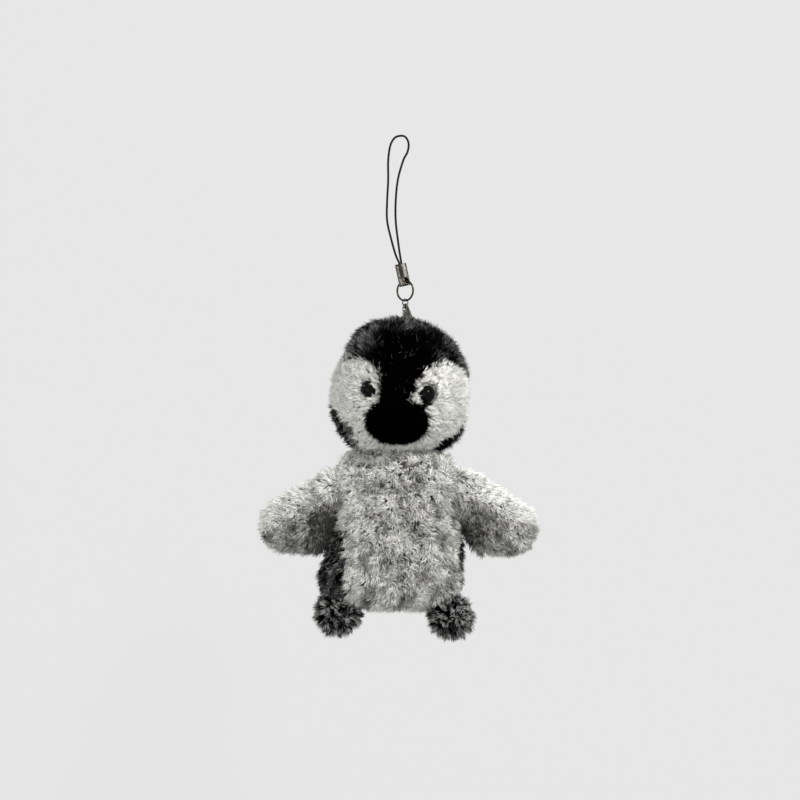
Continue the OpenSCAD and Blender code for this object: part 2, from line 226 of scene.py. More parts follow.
class Graph:
    """One material's nodes, with a Principled shader at their end."""

    def __init__(self, name: str) -> None:
        """Starts a material of that name."""
        self.material = bpy.data.materials.new(name)
        self.material.use_nodes = True
        self.tree = self.material.node_tree
        self.shader = self.tree.nodes["Principled BSDF"]

    def node(
        self,
        kind: str,
        settings: dict[str, object] | None = None,
        values: dict[object, object] | None = None,
        output: object = 0,
    ) -> Sock:
        """Adds a node.

        Args:
            kind: The node's type.
            settings: Its own settings, made before its sockets are filled.
            values: A number, a colour or a Sock for each input, by name or place.
            output: The name or place of the output that is wanted.

        Returns:
            The wanted output.
        """
        made = self.tree.nodes.new(kind)
        for key, value in (settings or {}).items():
            setattr(made, key, value)
        for key, value in (values or {}).items():
            self.feed(made.inputs[key], value)
        return Sock(self, made.outputs[output])

    def feed(self, socket: bpy.types.NodeSocket, value: object) -> None:
        """Links a Sock into an input, or sets a number or colour on it.

        Args:
            socket: The input.
            value: A Sock, a number, or a colour without its alpha.
        """
        if isinstance(value, Sock):
            self.tree.links.new(value.socket, socket)
        elif isinstance(value, tuple) and len(value) == 3 and socket.type == "RGBA":
            socket.default_value = (*value, 1.0)
        else:
            socket.default_value = value

    def set(self, **values: object) -> None:
        """Feeds the Principled shader, with underscores for spaces in names."""
        for key, value in values.items():
            self.feed(self.shader.inputs[key.replace("_", " ")], value)

    def mix(self, factor: object, low: object, high: object) -> Sock:
        """A mix of two colours."""
        return self.node(
            "ShaderNodeMix", {"data_type": "RGBA"}, {0: factor, 6: low, 7: high}, 2
        )

    def step(self, value: Sock, low: float, high: float) -> Sock:
        """A smooth step of a value from 0 at low to 1 at high."""
        return self.node(
            "ShaderNodeMapRange",
            {"interpolation_type": "SMOOTHSTEP"},
            {"Value": value, "From Min": low, "From Max": high},
        )

    def pile_map(self) -> tuple[Sock, Sock]:
        """The place in the pile map, across it and up it."""
        uv = self.node("ShaderNodeUVMap", {"uv_map": PILE_UV})
        across, up = (self.node("ShaderNodeSeparateXYZ", {}, {0: uv}, axis) for axis in "XY")
        return across, up

    def noise(self, scale: float, detail: float) -> Sock:
        """A noise of about scale patches to a metre, in the object's own space."""
        place = self.node("ShaderNodeTexCoord", output="Object")
        return self.node(
            "ShaderNodeTexNoise", {}, {"Vector": place, "Scale": scale, "Detail": detail}
        )

    def grime(self) -> Sock:
        """How much painted shade the piece's own attribute marks at a place: none, if it has none.
        """
        return self.node("ShaderNodeAttribute", {"attribute_name": PAINTED_SHADE}, output="Fac")

    def bump(self, height: Sock, strength: float, distance: float) -> Sock:
        """A normal bumped by a height of up to distance, in metres."""
        return self.node(
            "ShaderNodeBump", {}, {"Strength": strength, "Distance": distance, "Height": height}
        )


# ---- Finishes ----


@dataclass(frozen=True)
class PlushFinish:
    """Pile fabric, dark at its roots and paler towards the tips.

    A tuft's place in the pile map says how it is coloured: across is its tone,
    from dark to pale, and up is how far along the fibre. A tuft of no tone at all
    gets painted shade, darker than the roots of the rest.

    Args:
        root: Colour of the darkest tufts at their roots.
        pale_root: Colour of the palest tufts at their roots.
        dull_tip: Colour of the darkest tufts at their tips.
        pale_tip: Colour of the palest tufts at their tips.
        rise: Where along the fibre the root's colour ends and the tip's starts.
        gloss: The shader's specular level.
    """

    # Painted shade: tufts of almost no tone take a darker copy of the root colour.
    DEEP: ClassVar[float] = 0.3
    DEEP_BELOW: ClassVar[float] = 0.05
    DULL_ABOVE: ClassVar[float] = 0.01
    ROUGHER_ROOT: ClassVar[float] = 0.15

    name: str
    root: Colour
    pale_root: Colour
    dull_tip: Colour
    pale_tip: Colour
    rise: tuple[float, float] = (0.1, 0.8)
    roughness: float = 0.8
    sheen: float = 0.1
    gloss: float = 0.2

    def material(self) -> bpy.types.Material:
        """Makes the material."""
        g = Graph(self.name)
        tone, along = g.pile_map()
        pale = g.step(tone, self.DULL_ABOVE, 1.0)
        root = g.mix(pale, self.root, self.pale_root)
        tip = g.mix(pale, self.dull_tip, self.pale_tip)
        # painted shade for the tufts of almost no tone
        shaded_root = tuple(self.DEEP * part for part in self.root)
        fibre = g.mix(g.step(along, *self.rise), root, tip)
        g.set(
            Base_Color=g.mix(g.step(tone, 0.0, self.DEEP_BELOW), shaded_root, fibre),
            Roughness=self.roughness + self.ROUGHER_ROOT * (1.0 - along),
            Sheen_Weight=self.sheen,
            Sheen_Roughness=0.5,
            Specular_IOR_Level=self.gloss,
        )
        return g.material


@dataclass(frozen=True)
class MetalFinish:
    """Aged plated wire and sheet, dark and dull where it is worn, and dark where painted shade is
    marked.
    """

    PATCHES: ClassVar[float] = 900.0
    GRAIN: ClassVar[float] = 5200.0

    name: str
    bright: Colour
    dark: Colour
    roughness: float = 0.3

    def material(self) -> bpy.types.Material:
        """Makes the material."""
        g = Graph(self.name)
        worn = g.step(g.noise(self.PATCHES, 4), 0.35, 0.7)
        fine = g.noise(self.GRAIN, 3)
        g.set(
            # worn patches darken it, and so does the painted shade that the piece's attribute
            # marks
            Base_Color=g.mix(worn * 0.5 + g.grime(), self.bright, self.dark),
            Roughness=self.roughness + 0.22 * worn + 0.08 * fine,
            Metallic=1.0,
            Normal=g.bump(fine, 0.25, 0.00004),
        )
        return g.material


@dataclass(frozen=True)
class BraidFinish:
    """A round braided cord: two sets of strands that cross over each other.

    Args:
        thread: Colour of the strands.
        gap: Colour between them, a painted shade.
        strands: Strands of each set round the cord.
        turns: How often each strand goes round the whole cord.
    """

    name: str
    thread: Colour
    gap: Colour
    strands: float = 4.0
    turns: float = 90.0

    def material(self) -> bpy.types.Material:
        """Makes the material."""
        g = Graph(self.name)
        around, along = g.pile_map()
        waves = [
            g.node(
                "ShaderNodeMath",
                {"operation": "SINE"},
                {0: (around * self.strands + along * self.turns * way) * (2 * math.pi)},
            )
            for way in (1.0, -1.0)
        ]
        height = g.node(
            "ShaderNodeMath", {"operation": "MAXIMUM"}, {0: waves[0], 1: waves[1]}
        )
        g.set(
            # painted shade in the low places between the strands
            Base_Color=g.mix(g.step(height, -0.2, 0.9), self.gap, self.thread),
            Roughness=0.7,
            Specular_IOR_Level=0.15,
            Normal=g.bump(height, 0.6, 0.00008),
        )
        return g.material


@dataclass(frozen=True)
class SuedeFinish:
    """Brushed imitation suede, paler where it is worn and dark where painted shade is marked."""

    NAP: ClassVar[float] = 2600.0
    PATCHES: ClassVar[float] = 500.0

    name: str
    face: Colour
    worn: Colour

    def material(self) -> bpy.types.Material:
        """Makes the material."""
        g = Graph(self.name)
        nap = g.noise(self.NAP, 5)
        patch = g.step(g.noise(self.PATCHES, 3), 0.4, 0.65)
        # random wear makes it paler, and the marked painted shade makes it darker
        wear_and_shade = patch * 0.6 + nap * 0.4 - 1.5 * g.grime()
        g.set(
            Base_Color=g.mix(wear_and_shade, self.face, self.worn),
            Roughness=0.86,
            Sheen_Weight=0.2,
            Normal=g.bump(nap, 0.6, 0.0001),
        )
        return g.material


@dataclass(frozen=True)
class GlossFinish:
    """Moulded plastic with a clear gloss and faint handling marks."""

    MARKS: ClassVar[float] = 700.0

    name: str
    colour: Colour
    mark: Colour
    roughness: float = 0.03

    def material(self) -> bpy.types.Material:
        """Makes the material."""
        g = Graph(self.name)
        haze = g.noise(self.MARKS, 4)
        g.set(
            Base_Color=g.mix(g.step(haze, 0.5, 0.8), self.colour, self.mark),
            Roughness=self.roughness + 0.08 * g.step(haze, 0.45, 0.75),
            Specular_IOR_Level=0.02,
            Coat_Weight=0.09,
            Coat_Roughness=0.04,
        )
        return g.material


@dataclass(frozen=True)
class FibreFinish:
    """Loose polyester stuffing."""

    LUMPS: ClassVar[float] = 300.0

    name: str
    light: Colour
    shade: Colour

    def material(self) -> bpy.types.Material:
        """Makes the material."""
        g = Graph(self.name)
        lump = g.noise(self.LUMPS, 6)
        g.set(
            Base_Color=g.mix(g.step(lump, 0.3, 0.7), self.light, self.shade),
            Roughness=0.95,
            Normal=g.bump(lump, 0.8, 0.0006),
        )
        return g.material


CHEEK_PLUSH = PlushFinish(
    "cheek_plush",
    root=(0.32, 0.32, 0.30), pale_root=(0.50, 0.50, 0.47),
    dull_tip=(0.42, 0.42, 0.39), pale_tip=(0.86, 0.86, 0.82),
)
CROWN_PLUSH = PlushFinish(
    "crown_plush",
    root=(0.0006, 0.0006, 0.0006), pale_root=(0.01, 0.01, 0.01),
    dull_tip=(0.0008, 0.0008, 0.0008), pale_tip=(0.50, 0.50, 0.49),
    rise=(0.25, 0.9), roughness=0.95, sheen=0.0, gloss=0.02,
)
BELLY_PLUSH = PlushFinish(
    "belly_plush",
    root=(0.11, 0.11, 0.10), pale_root=(0.50, 0.50, 0.47),
    dull_tip=(0.19, 0.19, 0.175), pale_tip=(0.99, 0.99, 0.95),
)
DARK_PLUSH = PlushFinish(
    "dark_plush",
    root=(0.001, 0.001, 0.001), pale_root=(0.004, 0.004, 0.004),
    dull_tip=(0.003, 0.003, 0.003), pale_tip=(0.60, 0.60, 0.58),
    rise=(0.35, 0.95), roughness=0.95, sheen=0.0, gloss=0.03,
)
BEAK_PLUSH = PlushFinish(
    "beak_plush",
    root=(0.0003, 0.0003, 0.0003), pale_root=(0.0003, 0.0003, 0.0003),
    dull_tip=(0.0005, 0.0005, 0.0005), pale_tip=(0.002, 0.002, 0.002),
    rise=(0.3, 0.95), roughness=1.0, sheen=0.0, gloss=0.0,
)
NICKEL = MetalFinish("aged_nickel", bright=(0.36, 0.34, 0.30), dark=(0.022, 0.020, 0.017))
WIRE = MetalFinish(
    "dark_wire", bright=(0.055, 0.051, 0.043), dark=(0.010, 0.009, 0.008), roughness=0.2
)
BRAID = BraidFinish("black_braid", thread=(0.006, 0.006, 0.006), gap=(0.001, 0.001, 0.001))
SUEDE = SuedeFinish("taupe_suede", face=(0.016, 0.014, 0.011), worn=(0.24, 0.21, 0.17))
EYE_GLOSS = GlossFinish("eye_gloss", colour=(0.002, 0.002, 0.002), mark=(0.004, 0.004, 0.005))
WASHER_PLASTIC = GlossFinish(
    "washer_plastic", colour=(0.75, 0.75, 0.72), mark=(0.6, 0.6, 0.57), roughness=0.35
)
STUFFING = FibreFinish("stuffing_fibre", light=(0.86, 0.86, 0.84), shade=(0.66, 0.66, 0.64))


# ---- Meshes and pieces ----


def to_piece(bm: bmesh.types.BMesh, name: str, material: bpy.types.Material) -> bpy.types.Object:
    """Turns a bmesh in millimetres into a smooth-shaded object in metres.

    Args:
        bm: The shape, which is freed.
        name: The object's name.
        material: Its only material.

    Returns:
        The object, linked to the scene.
    """
    bmesh.ops.scale(bm, vec=(MM, MM, MM), verts=bm.verts)
    mesh = bpy.data.meshes.new(name)
    bm.to_mesh(mesh)
    bm.free()
    return link(mesh, name, material)


def link(mesh: bpy.types.Mesh, name: str, material: bpy.types.Material) -> bpy.types.Object:
    """Puts a mesh into the scene as a smooth-shaded object."""
    mesh.materials.clear()
    mesh.materials.append(material)
    mesh.shade_smooth()
    piece = bpy.data.objects.new(name, mesh)
    bpy.context.scene.collection.objects.link(piece)
    return piece


def applied(piece: bpy.types.Object) -> bpy.types.Mesh:
    """A new mesh of the piece with its modifiers in it."""
    graph = bpy.context.evaluated_depsgraph_get()
    return bpy.data.meshes.new_from_object(piece.evaluated_get(graph))


def bake_in(piece: bpy.types.Object) -> None:
    """Applies a piece's modifiers and takes them off it."""
    mesh, old = applied(piece), piece.data
    piece.modifiers.clear()
    piece.data = mesh
    bpy.data.meshes.remove(old)


def report(piece: bpy.types.Object, note: str) -> None:
    """Logs a finished piece."""
    LOG.info("%s: %s, %d faces", piece.name, note, len(piece.data.polygons))


def stand_for(piece: bpy.types.Object, node: str, body: str) -> None:
    """Lets a piece take the place of a CAD node.

    Args:
        piece: The finished piece.
        node: The node, which is hidden.
        body: The body that it moves with.
    """
    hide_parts(node)
    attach(piece, body)


def thicken(bm: bmesh.types.BMesh, thickness: float) -> None:
    """Makes a closed shell of an open sheet."""
    bmesh.ops.recalc_face_normals(bm, faces=bm.faces)
    bmesh.ops.solidify(bm, geom=bm.faces[:], thickness=thickness)
    bmesh.ops.recalc_face_normals(bm, faces=bm.faces)


def place_at(bm: bmesh.types.BMesh, turn: Matrix, place: Point) -> None:
    """Turns a shape about its origin and moves it to a place."""
    bmesh.ops.rotate(bm, cent=(0, 0, 0), matrix=turn, verts=bm.verts)
    bmesh.ops.translate(bm, vec=place, verts=bm.verts)


def soften(piece: bpy.types.Object, width: float) -> None:
    """Has a small round put on a piece's sharp edges when its modifiers are baked in."""
    bevel = piece.modifiers.new("edges", "BEVEL")
    bevel.width, bevel.segments, bevel.limit_method = width * MM, 2, "ANGLE"


# ---- Stuffed forms ----


@dataclass(frozen=True)
class Push:
    """A soft push on a form, outwards where its amount is above 0.

    Args:
        place: Where the push is strongest.
        reach: How far from there it fades.
        amount: How far it moves the surface.
    """

    place: Point
    reach: float
    amount: float


def ball() -> bmesh.types.BMesh:
    """An even round ball of radius 1."""
    bm = bmesh.new()
    bmesh.ops.create_icosphere(bm, subdivisions=5, radius=1.0)
    return bm


def kneaded(bm: bmesh.types.BMesh, pushes: Sequence[Push]) -> bmesh.types.BMesh:
    """A form with soft pushes made in it."""
    bm.normal_update()
    moves = [
        vert.normal * sum(
            push.amount * bell((vert.co - Vector(push.place)).length, 0.0, push.reach)
            for push in pushes
        )
        for vert in bm.verts
    ]
    for vert, move in zip(bm.verts, moves):
        vert.co += move
    return bm


@dataclass(frozen=True)
class Plump:
    """A plump round form, with its own curve above and below its widest line.

    Args:
        centre: The middle of its widest line.
        width: Its size from side to side.
        depth: Its size from front to back.
        up: How far it rises above the line.
        down: How far it hangs below the line.
        power_up: How square it is above: 2 is round.
        power_down: How square it is below.
        lean: Degrees that it leans by.
        pivot: The point that it leans about.
        pushes: The soft pushes made in it.
    """

    centre: Point
    width: float
    depth: float
    up: float
    down: float
    power_up: float
    power_down: float
    lean: float = 0.0
    pivot: Point = (0.0, 0.0, 0.0)
    pushes: tuple[Push, ...] = ()

    def skin(self, inset: float) -> bmesh.types.BMesh:
        """The form's surface, moved inwards by inset."""
        bm = ball()
        for vert in bm.verts:
            power = self.power_up if vert.co.z > 0 else self.power_down
            height = (self.up if vert.co.z > 0 else self.down) - inset
            level = math.hypot(vert.co.x, vert.co.y)
            share = level ** (2 / power) / level if level > SMALL else 0.0
            vert.co = (
                vert.co.x * share * (self.width / 2 - inset),
                vert.co.y * share * (self.depth / 2 - inset),
                math.copysign(abs(vert.co.z) ** (2 / power) * height, vert.co.z),
            )
        bmesh.ops.translate(bm, vec=self.centre, verts=bm.verts)
        bmesh.ops.rotate(bm, cent=self.pivot, matrix=turned(self.lean, "Y"), verts=bm.verts)
        return kneaded(bm, self.pushes)


@dataclass(frozen=True)
class Lobe:
    """A flattened form stretched over a few balls, each a centre and a radius."""

    balls: tuple[tuple[Point, float], ...]
    flat: float = 1.0

    def skin(self, inset: float) -> bmesh.types.BMesh:
        """The form's surface, moved inwards by inset."""
        bm = ball()
        balls = [(Vector(centre), radius - inset) for centre, radius in self.balls]
        for vert in bm.verts:
            way = vert.co.normalized()
            centre, radius = max(balls, key=lambda each: each[0].dot(way) + each[1])
            vert.co = centre + way * radius
        bmesh.ops.scale(bm, vec=(1, self.flat, 1), verts=bm.verts)
        return bm


@dataclass(frozen=True)
class Stuffing:
    """Blows a closed form up from inside with cloth pressure, held at its seams.

    Args:
        voxel: Size of the mesh that is blown up.
        pressure: The cloth's pressure.
        stiffness: How hard the cloth is to stretch.
        swell: The most that any point may move.
        frames: How long the cloth is blown up for.
    """

    voxel: float = 2.0
    pressure: float = 1200.0
    stiffness: float = 2.0
    swell: float = 0.9
    frames: int = 20

    def fill(self, bm: bmesh.types.BMesh, name: str, seam: Zone | None = None) -> bpy.types.Object:
        """Makes the stuffed pad.

        Args:
            bm: The form before it is blown up, in millimetres.
            name: The pad's name.
            seam: Says which points a seam holds in.

        Returns:
            The pad, with no modifiers left on it.
        """
        pad = to_piece(bm, name, STUFFING_MATERIAL)
        remesh = pad.modifiers.new("even", "REMESH")
        remesh.mode = "VOXEL"
        remesh.voxel_size = self.voxel * MM
        bake_in(pad)
        self._blow(pad, seam)
        smoother = pad.modifiers.new("round", "SUBSURF")
        smoother.levels = smoother.render_levels = 1
        bake_in(pad)
        pad.data.shade_smooth()
        return pad

    def _blow(self, pad: bpy.types.Object, seam: Zone | None) -> None:
        """Runs the cloth and moves the pad's points, each by no more than swell."""
        rest = read_points(pad.data)
        cloth = pad.modifiers.new("cloth", "CLOTH")
        settings = cloth.settings
        settings.use_pressure = True
        settings.uniform_pressure_force = self.pressure
        settings.effector_weights.gravity = 0
        settings.mass = 0.001
        settings.quality = 4
        settings.tension_stiffness = settings.compression_stiffness = self.stiffness
        settings.shear_stiffness = self.stiffness / 2
        settings.bending_stiffness = 0.05
        if seam is not None:
            held = pad.vertex_groups.new(name="seam")
            held.add([int(i) for i in np.nonzero(seam(rest))[0]], 1.0, "REPLACE")
            settings.vertex_group_mass = held.name
        scene = bpy.context.scene
        for step in range(1, self.frames + 1):
            scene.frame_set(step)
        blown = applied(pad)
        move = read_points(blown) - rest
        bpy.data.meshes.remove(blown)
        pad.modifiers.clear()
        pad.vertex_groups.clear()
        scene.frame_set(1)
        far = np.linalg.norm(move, axis=1, keepdims=True)
        LOG.info("%s swells by %.2f mm, %.2f at most", pad.name, far.mean(), far.max())
        move *= np.minimum(1.0, self.swell / np.maximum(far, SMALL))
        write_points(pad.data, rest + move)


def read_points(mesh: bpy.types.Mesh) -> Array:
    """A mesh's points in millimetres."""
    flat = np.empty(len(mesh.vertices) * 3, np.float32)
    mesh.vertices.foreach_get("co", flat)
    return flat.reshape(-1, 3).astype(float) / MM


def write_points(mesh: bpy.types.Mesh, points: Array) -> None:
    """Moves a mesh's points, given in millimetres."""
    mesh.vertices.foreach_set("co", (points * MM).astype(np.float32).ravel())
    mesh.update()


# ---- Pile ----


@dataclass
class Roots:
    """Where tufts stand: points and outward directions, in millimetres."""

    points: Array
    normals: Array

    @classmethod
    def on(cls, mesh: bpy.types.Mesh, spacing: float, seed: int) -> "Roots":
        """Spreads roots evenly over a mesh.

        Args:
            mesh: The surface, in metres.
            spacing: About how far apart the roots are.
            seed: Sets the small shifts.

        Returns:
            The roots.
        """
        rng = np.random.default_rng(seed)
        mesh.calc_loop_triangles()
        count = len(mesh.loop_triangles)
        corner = np.empty(count * 3, np.int32)
        mesh.loop_triangles.foreach_get("vertices", corner)
        corner = corner.reshape(-1, 3)
        points = read_points(mesh)
        normal = np.empty(len(mesh.vertices) * 3, np.float32)
        mesh.vertices.foreach_get("normal", normal)
        normal = normal.reshape(-1, 3).astype(float)
        a, b, c = (points[corner[:, k]] for k in range(3))
        area = np.linalg.norm(np.cross(b - a, c - a), axis=1) / 2
        reach = np.cumsum(area)
        total = int(reach[-1] / spacing**2)
        place = (np.arange(total) + rng.uniform(0, 1, total)) * (reach[-1] / total)
        chosen = np.searchsorted(reach, place).clip(0, count - 1)
        r1 = np.sqrt(rng.uniform(0, 1, (total, 1)))
        r2 = rng.uniform(0, 1, (total, 1))
        weights = np.concatenate([1 - r1, r1 * (1 - r2), r1 * r2], axis=1)
        spread = [corner[chosen][:, k] for k in range(3)]
        return cls(
            sum(points[s] * weights[:, k : k + 1] for k, s in enumerate(spread)),
            unit(sum(normal[s] * weights[:, k : k + 1] for k, s in enumerate(spread))),
        )

    def only(self, keep: Array) -> "Roots":
        """The roots that a mask keeps."""
        return Roots(self.points[keep], self.normals[keep])


class Tuft:
    """The mesh of one tuft: a bent, tapering, closed three-sided spike."""

    SIDES = 3
    MIDDLE = 0.5
    WIDEST = 0.85
    MERGE = 1e-4
    UV_HALF = 0.004
    UV_TOP = 0.996

    def __init__(self) -> None:
        """Builds the spike and keeps its parts as arrays."""
        bm = bmesh.new()
        bmesh.ops.create_cone(
            bm, cap_ends=True, cap_tris=False, segments=self.SIDES,
            radius1=1.0, radius2=0.0, depth=1.0,
        )
        bmesh.ops.translate(bm, vec=(0, 0, self.MIDDLE), verts=bm.verts)
        bmesh.ops.remove_doubles(bm, verts=bm.verts, dist=self.MERGE)
        bmesh.ops.bisect_plane(
            bm, geom=bm.verts[:] + bm.edges[:] + bm.faces[:],
            plane_co=(0, 0, self.MIDDLE), plane_no=(0, 0, 1),
        )
        waist = [v for v in bm.verts if abs(v.co.z - self.MIDDLE) < self.MERGE]
        bmesh.ops.scale(bm, vec=(2 * self.WIDEST, 2 * self.WIDEST, 1), verts=waist)
        bmesh.ops.recalc_face_normals(bm, faces=bm.faces)
        bm.verts.index_update()
        self.shape = np.array([v.co for v in bm.verts], float)
        self.corners = np.array([v.index for f in bm.faces for v in (l.vert for l in f.loops)])
        self.starts = np.cumsum([0] + [len(f.loops) for f in bm.faces][:-1])
        across, up = [], []
        for face in bm.faces:
            middle = face.calc_center_median()
            side = Vector((-middle.y, middle.x, 0))
            for loop in face.loops:
                lean = loop.vert.co.dot(side) if side.length > self.MERGE else loop.vert.co.x
                foot = self.UV_HALF * (1 + loop.vert.index % self.SIDES)
                across.append(math.copysign(self.UV_HALF, lean))
                up.append(min(max(loop.vert.co.z, foot), self.UV_TOP))
        self.across, self.up = np.array(across), np.array(up)
        bm.free()


TUFT = Tuft()


@dataclass(frozen=True)
class Pile:
    """How a plush fabric's tufts are cut and combed.

    Args:
        spacing: Distance between tufts.
        length: Length of a tuft.
        thick: Radius of a tuft at its root.
        lean: Degrees from upright at the root and at the tip.
        clump: Distance between clumps.
        gather: How strongly the tips of a clump draw together, 0 to 1.
        ragged: Spread of the lengths, as a share.
        wander: How far each tuft strays from the comb.
        stray: How far each clump strays from the comb.
        speckle: Spread of the tone from tuft to tuft.
        streak: Spread of the tone from clump to clump.
        frost: Share of the tufts that are pale whatever the tone around them.
    """

    SHORTEST: ClassVar[float] = 0.3
    CLUMP_RAGGED: ClassVar[float] = 0.6
    TOUSLE: ClassVar[float] = 7.0
    CLUMP_TOUSLE: ClassVar[float] = 8.0
    PULLS: ClassVar[tuple[float, float]] = (0.5, 1.3)
    MIDDLE_PULL: ClassVar[float] = 0.45
    FROST_TONE: ClassVar[float] = 0.12
    FROST_SPREAD: ClassVar[float] = 0.22

    spacing: float = 0.38
    length: float = 5.0
    thick: float = 0.24
    lean: tuple[float, float] = (24.0, 54.0)
    clump: float = 1.4
    gather: float = 0.25
    ragged: float = 0.3
    wander: float = 0.4
    stray: float = 0.6
    speckle: float = 0.3
    streak: float = 0.12
    frost: float = 0.0

    def grow(self, roots: Roots, comb: Comb, tone: Tone, seed: int) -> "Fur":
        """Grows a tuft on every root.

        Args:
            roots: Where the tufts stand.
            comb: Gives the way that the pile lies.
            tone: Gives how pale each tuft is, from 0 to 1.
            seed: Sets the small differences.

        Returns:
            The fur.
        """
        rng = np.random.default_rng(seed)
        n, count = roots.normals, len(roots.points)
        leader = self._leaders(roots.points, rng)
        own, shared = rng.normal(size=(count, 3)), rng.normal(size=(count, 3))[leader]
        way = unit(comb(roots.points)) + own * self.wander + shared * self.stray
        way = flat_to(way, n)
        ragged = rng.uniform(-1, 1, (count, 2))
        length = 1 + self.ragged * (ragged[:, :1] + self.CLUMP_RAGGED * ragged[leader][:, 1:])
        length = self.length * np.maximum(length, self.SHORTEST)
        tousled = rng.normal(size=(count, 1)) * self.TOUSLE + shared[:, :1] * self.CLUMP_TOUSLE
        lean = [np.radians(angle + tousled) for angle in self.lean]
        steps = [(n * np.cos(a) + way * np.sin(a)) * length / 2 for a in lean]
        middle = roots.points + steps[0]
        tip = middle + steps[1]
        pull = self.gather * rng.uniform(*self.PULLS, (count, 1))
        tip = tip + (tip[leader] - tip) * pull
        middle = middle + (middle[leader] - middle) * pull * self.MIDDLE_PULL
        shade = tone(roots.points)
        shade = shade * (1 + self.speckle * rng.normal(size=count)) + self.streak * shared[:, 2]
        pale = rng.uniform(size=(count, 2))
        frosted = self.FROST_TONE + self.FROST_SPREAD * pale[:, 1]
        shade = np.where(pale[:, 0] < self.frost, frosted, shade)
        return Fur(roots.points, middle, tip, self.thick, np.clip(shade, 0.0, 1.0), rng)

    def _leaders(self, root: Array, rng: np.random.Generator) -> Array:
        """The tuft that leads each tuft's clump."""
        count = len(root)
        share = min(1.0, (self.spacing / self.clump) ** 2)
        leaders = rng.permutation(count)[: max(1, int(count * share))]
        tree = KDTree(len(leaders))
        for place, leader in enumerate(leaders):
            tree.insert(root[leader], place)
        tree.balance()
        return np.array([leaders[tree.find(p)[1]] for p in root], int)


CHEEK_PILE = Pile(
    length=4.4, spacing=0.37, clump=1.4, stray=0.45, ragged=0.36, speckle=0.2, streak=0.06
)
CROWN_PILE = Pile(
    length=5.4, spacing=0.40, thick=0.22, clump=1.6, stray=0.5, ragged=0.35, speckle=0.7,
    streak=0.0, frost=0.025,
)
NAPE_PILE = Pile(length=5.2, spacing=0.46, thick=0.29, clump=1.9)
BEAK_PILE = Pile(
    length=2.7, spacing=0.34, thick=0.2, lean=(12.0, 36.0), clump=1.1, gather=0.3, ragged=0.6,
    wander=0.6, stray=0.8,
)
BELLY_PILE = Pile(length=5.0, spacing=0.395, thick=0.25, clump=1.5)
BACK_PILE = Pile(length=5.0, spacing=0.46, thick=0.29, clump=1.9)
FLIPPER_PILE = Pile(length=4.8, clump=1.3)
FOOT_PILE = Pile(
    length=5.0, spacing=0.34, thick=0.22, lean=(12.0, 30.0), clump=1.2, gather=0.5, wander=0.5,
    stray=0.9, speckle=0.5, streak=0.25,
)


@dataclass
class Fur:
    """Tufts by their roots, middles and tips, ready to be turned into a mesh."""

    THICKS: ClassVar[tuple[float, float]] = (0.7, 1.25)
    TONE_FROM: ClassVar[float] = 0.01
    TONE_SPAN: ClassVar[float] = 0.98

    root: Array
    middle: Array
    tip: Array
    thick: float
    shade: Array
    rng: np.random.Generator

    def arrays(self) -> tuple[Array, Array, Array, Array]:
        """Points, corners, face starts and pile-map places of all the tufts."""
        count = len(self.root)
        shape, levels = TUFT.shape, np.round(TUFT.shape[:, 2] * 2).astype(int)
        centres = np.stack([self.root, self.middle, self.tip], axis=1)
        first = unit(self.middle - self.root)
        last = unit(self.tip - self.middle)
        ways = np.stack([first, unit(first + last), last], axis=1)
        any_way = unit(self.rng.normal(size=(count, 3)))
        thick = self.thick * self.rng.uniform(*self.THICKS, (count, 1, 1))
        side = unit(np.cross(first, any_way))
        points = np.empty((count, len(shape), 3))
        for place, level in enumerate(levels):
            way = ways[:, level]
            across = flat_to(side, way)
            up = np.cross(way, across)
            x, y, _ = shape[place]
            points[:, place] = centres[:, level] + (across * x + up * y) * thick[:, 0]
        corners = (np.arange(count)[:, None] * len(shape) + TUFT.corners).ravel()
        starts = (np.arange(count)[:, None] * len(TUFT.corners) + TUFT.starts).ravel()
        tone = self.shade[:, None] * self.TONE_SPAN + self.TONE_FROM + TUFT.across
        up = np.broadcast_to(TUFT.up, (count, len(TUFT.up)))
        places = np.stack([tone.ravel(), up.ravel()], axis=1)
        return points.reshape(-1, 3), corners, starts, places


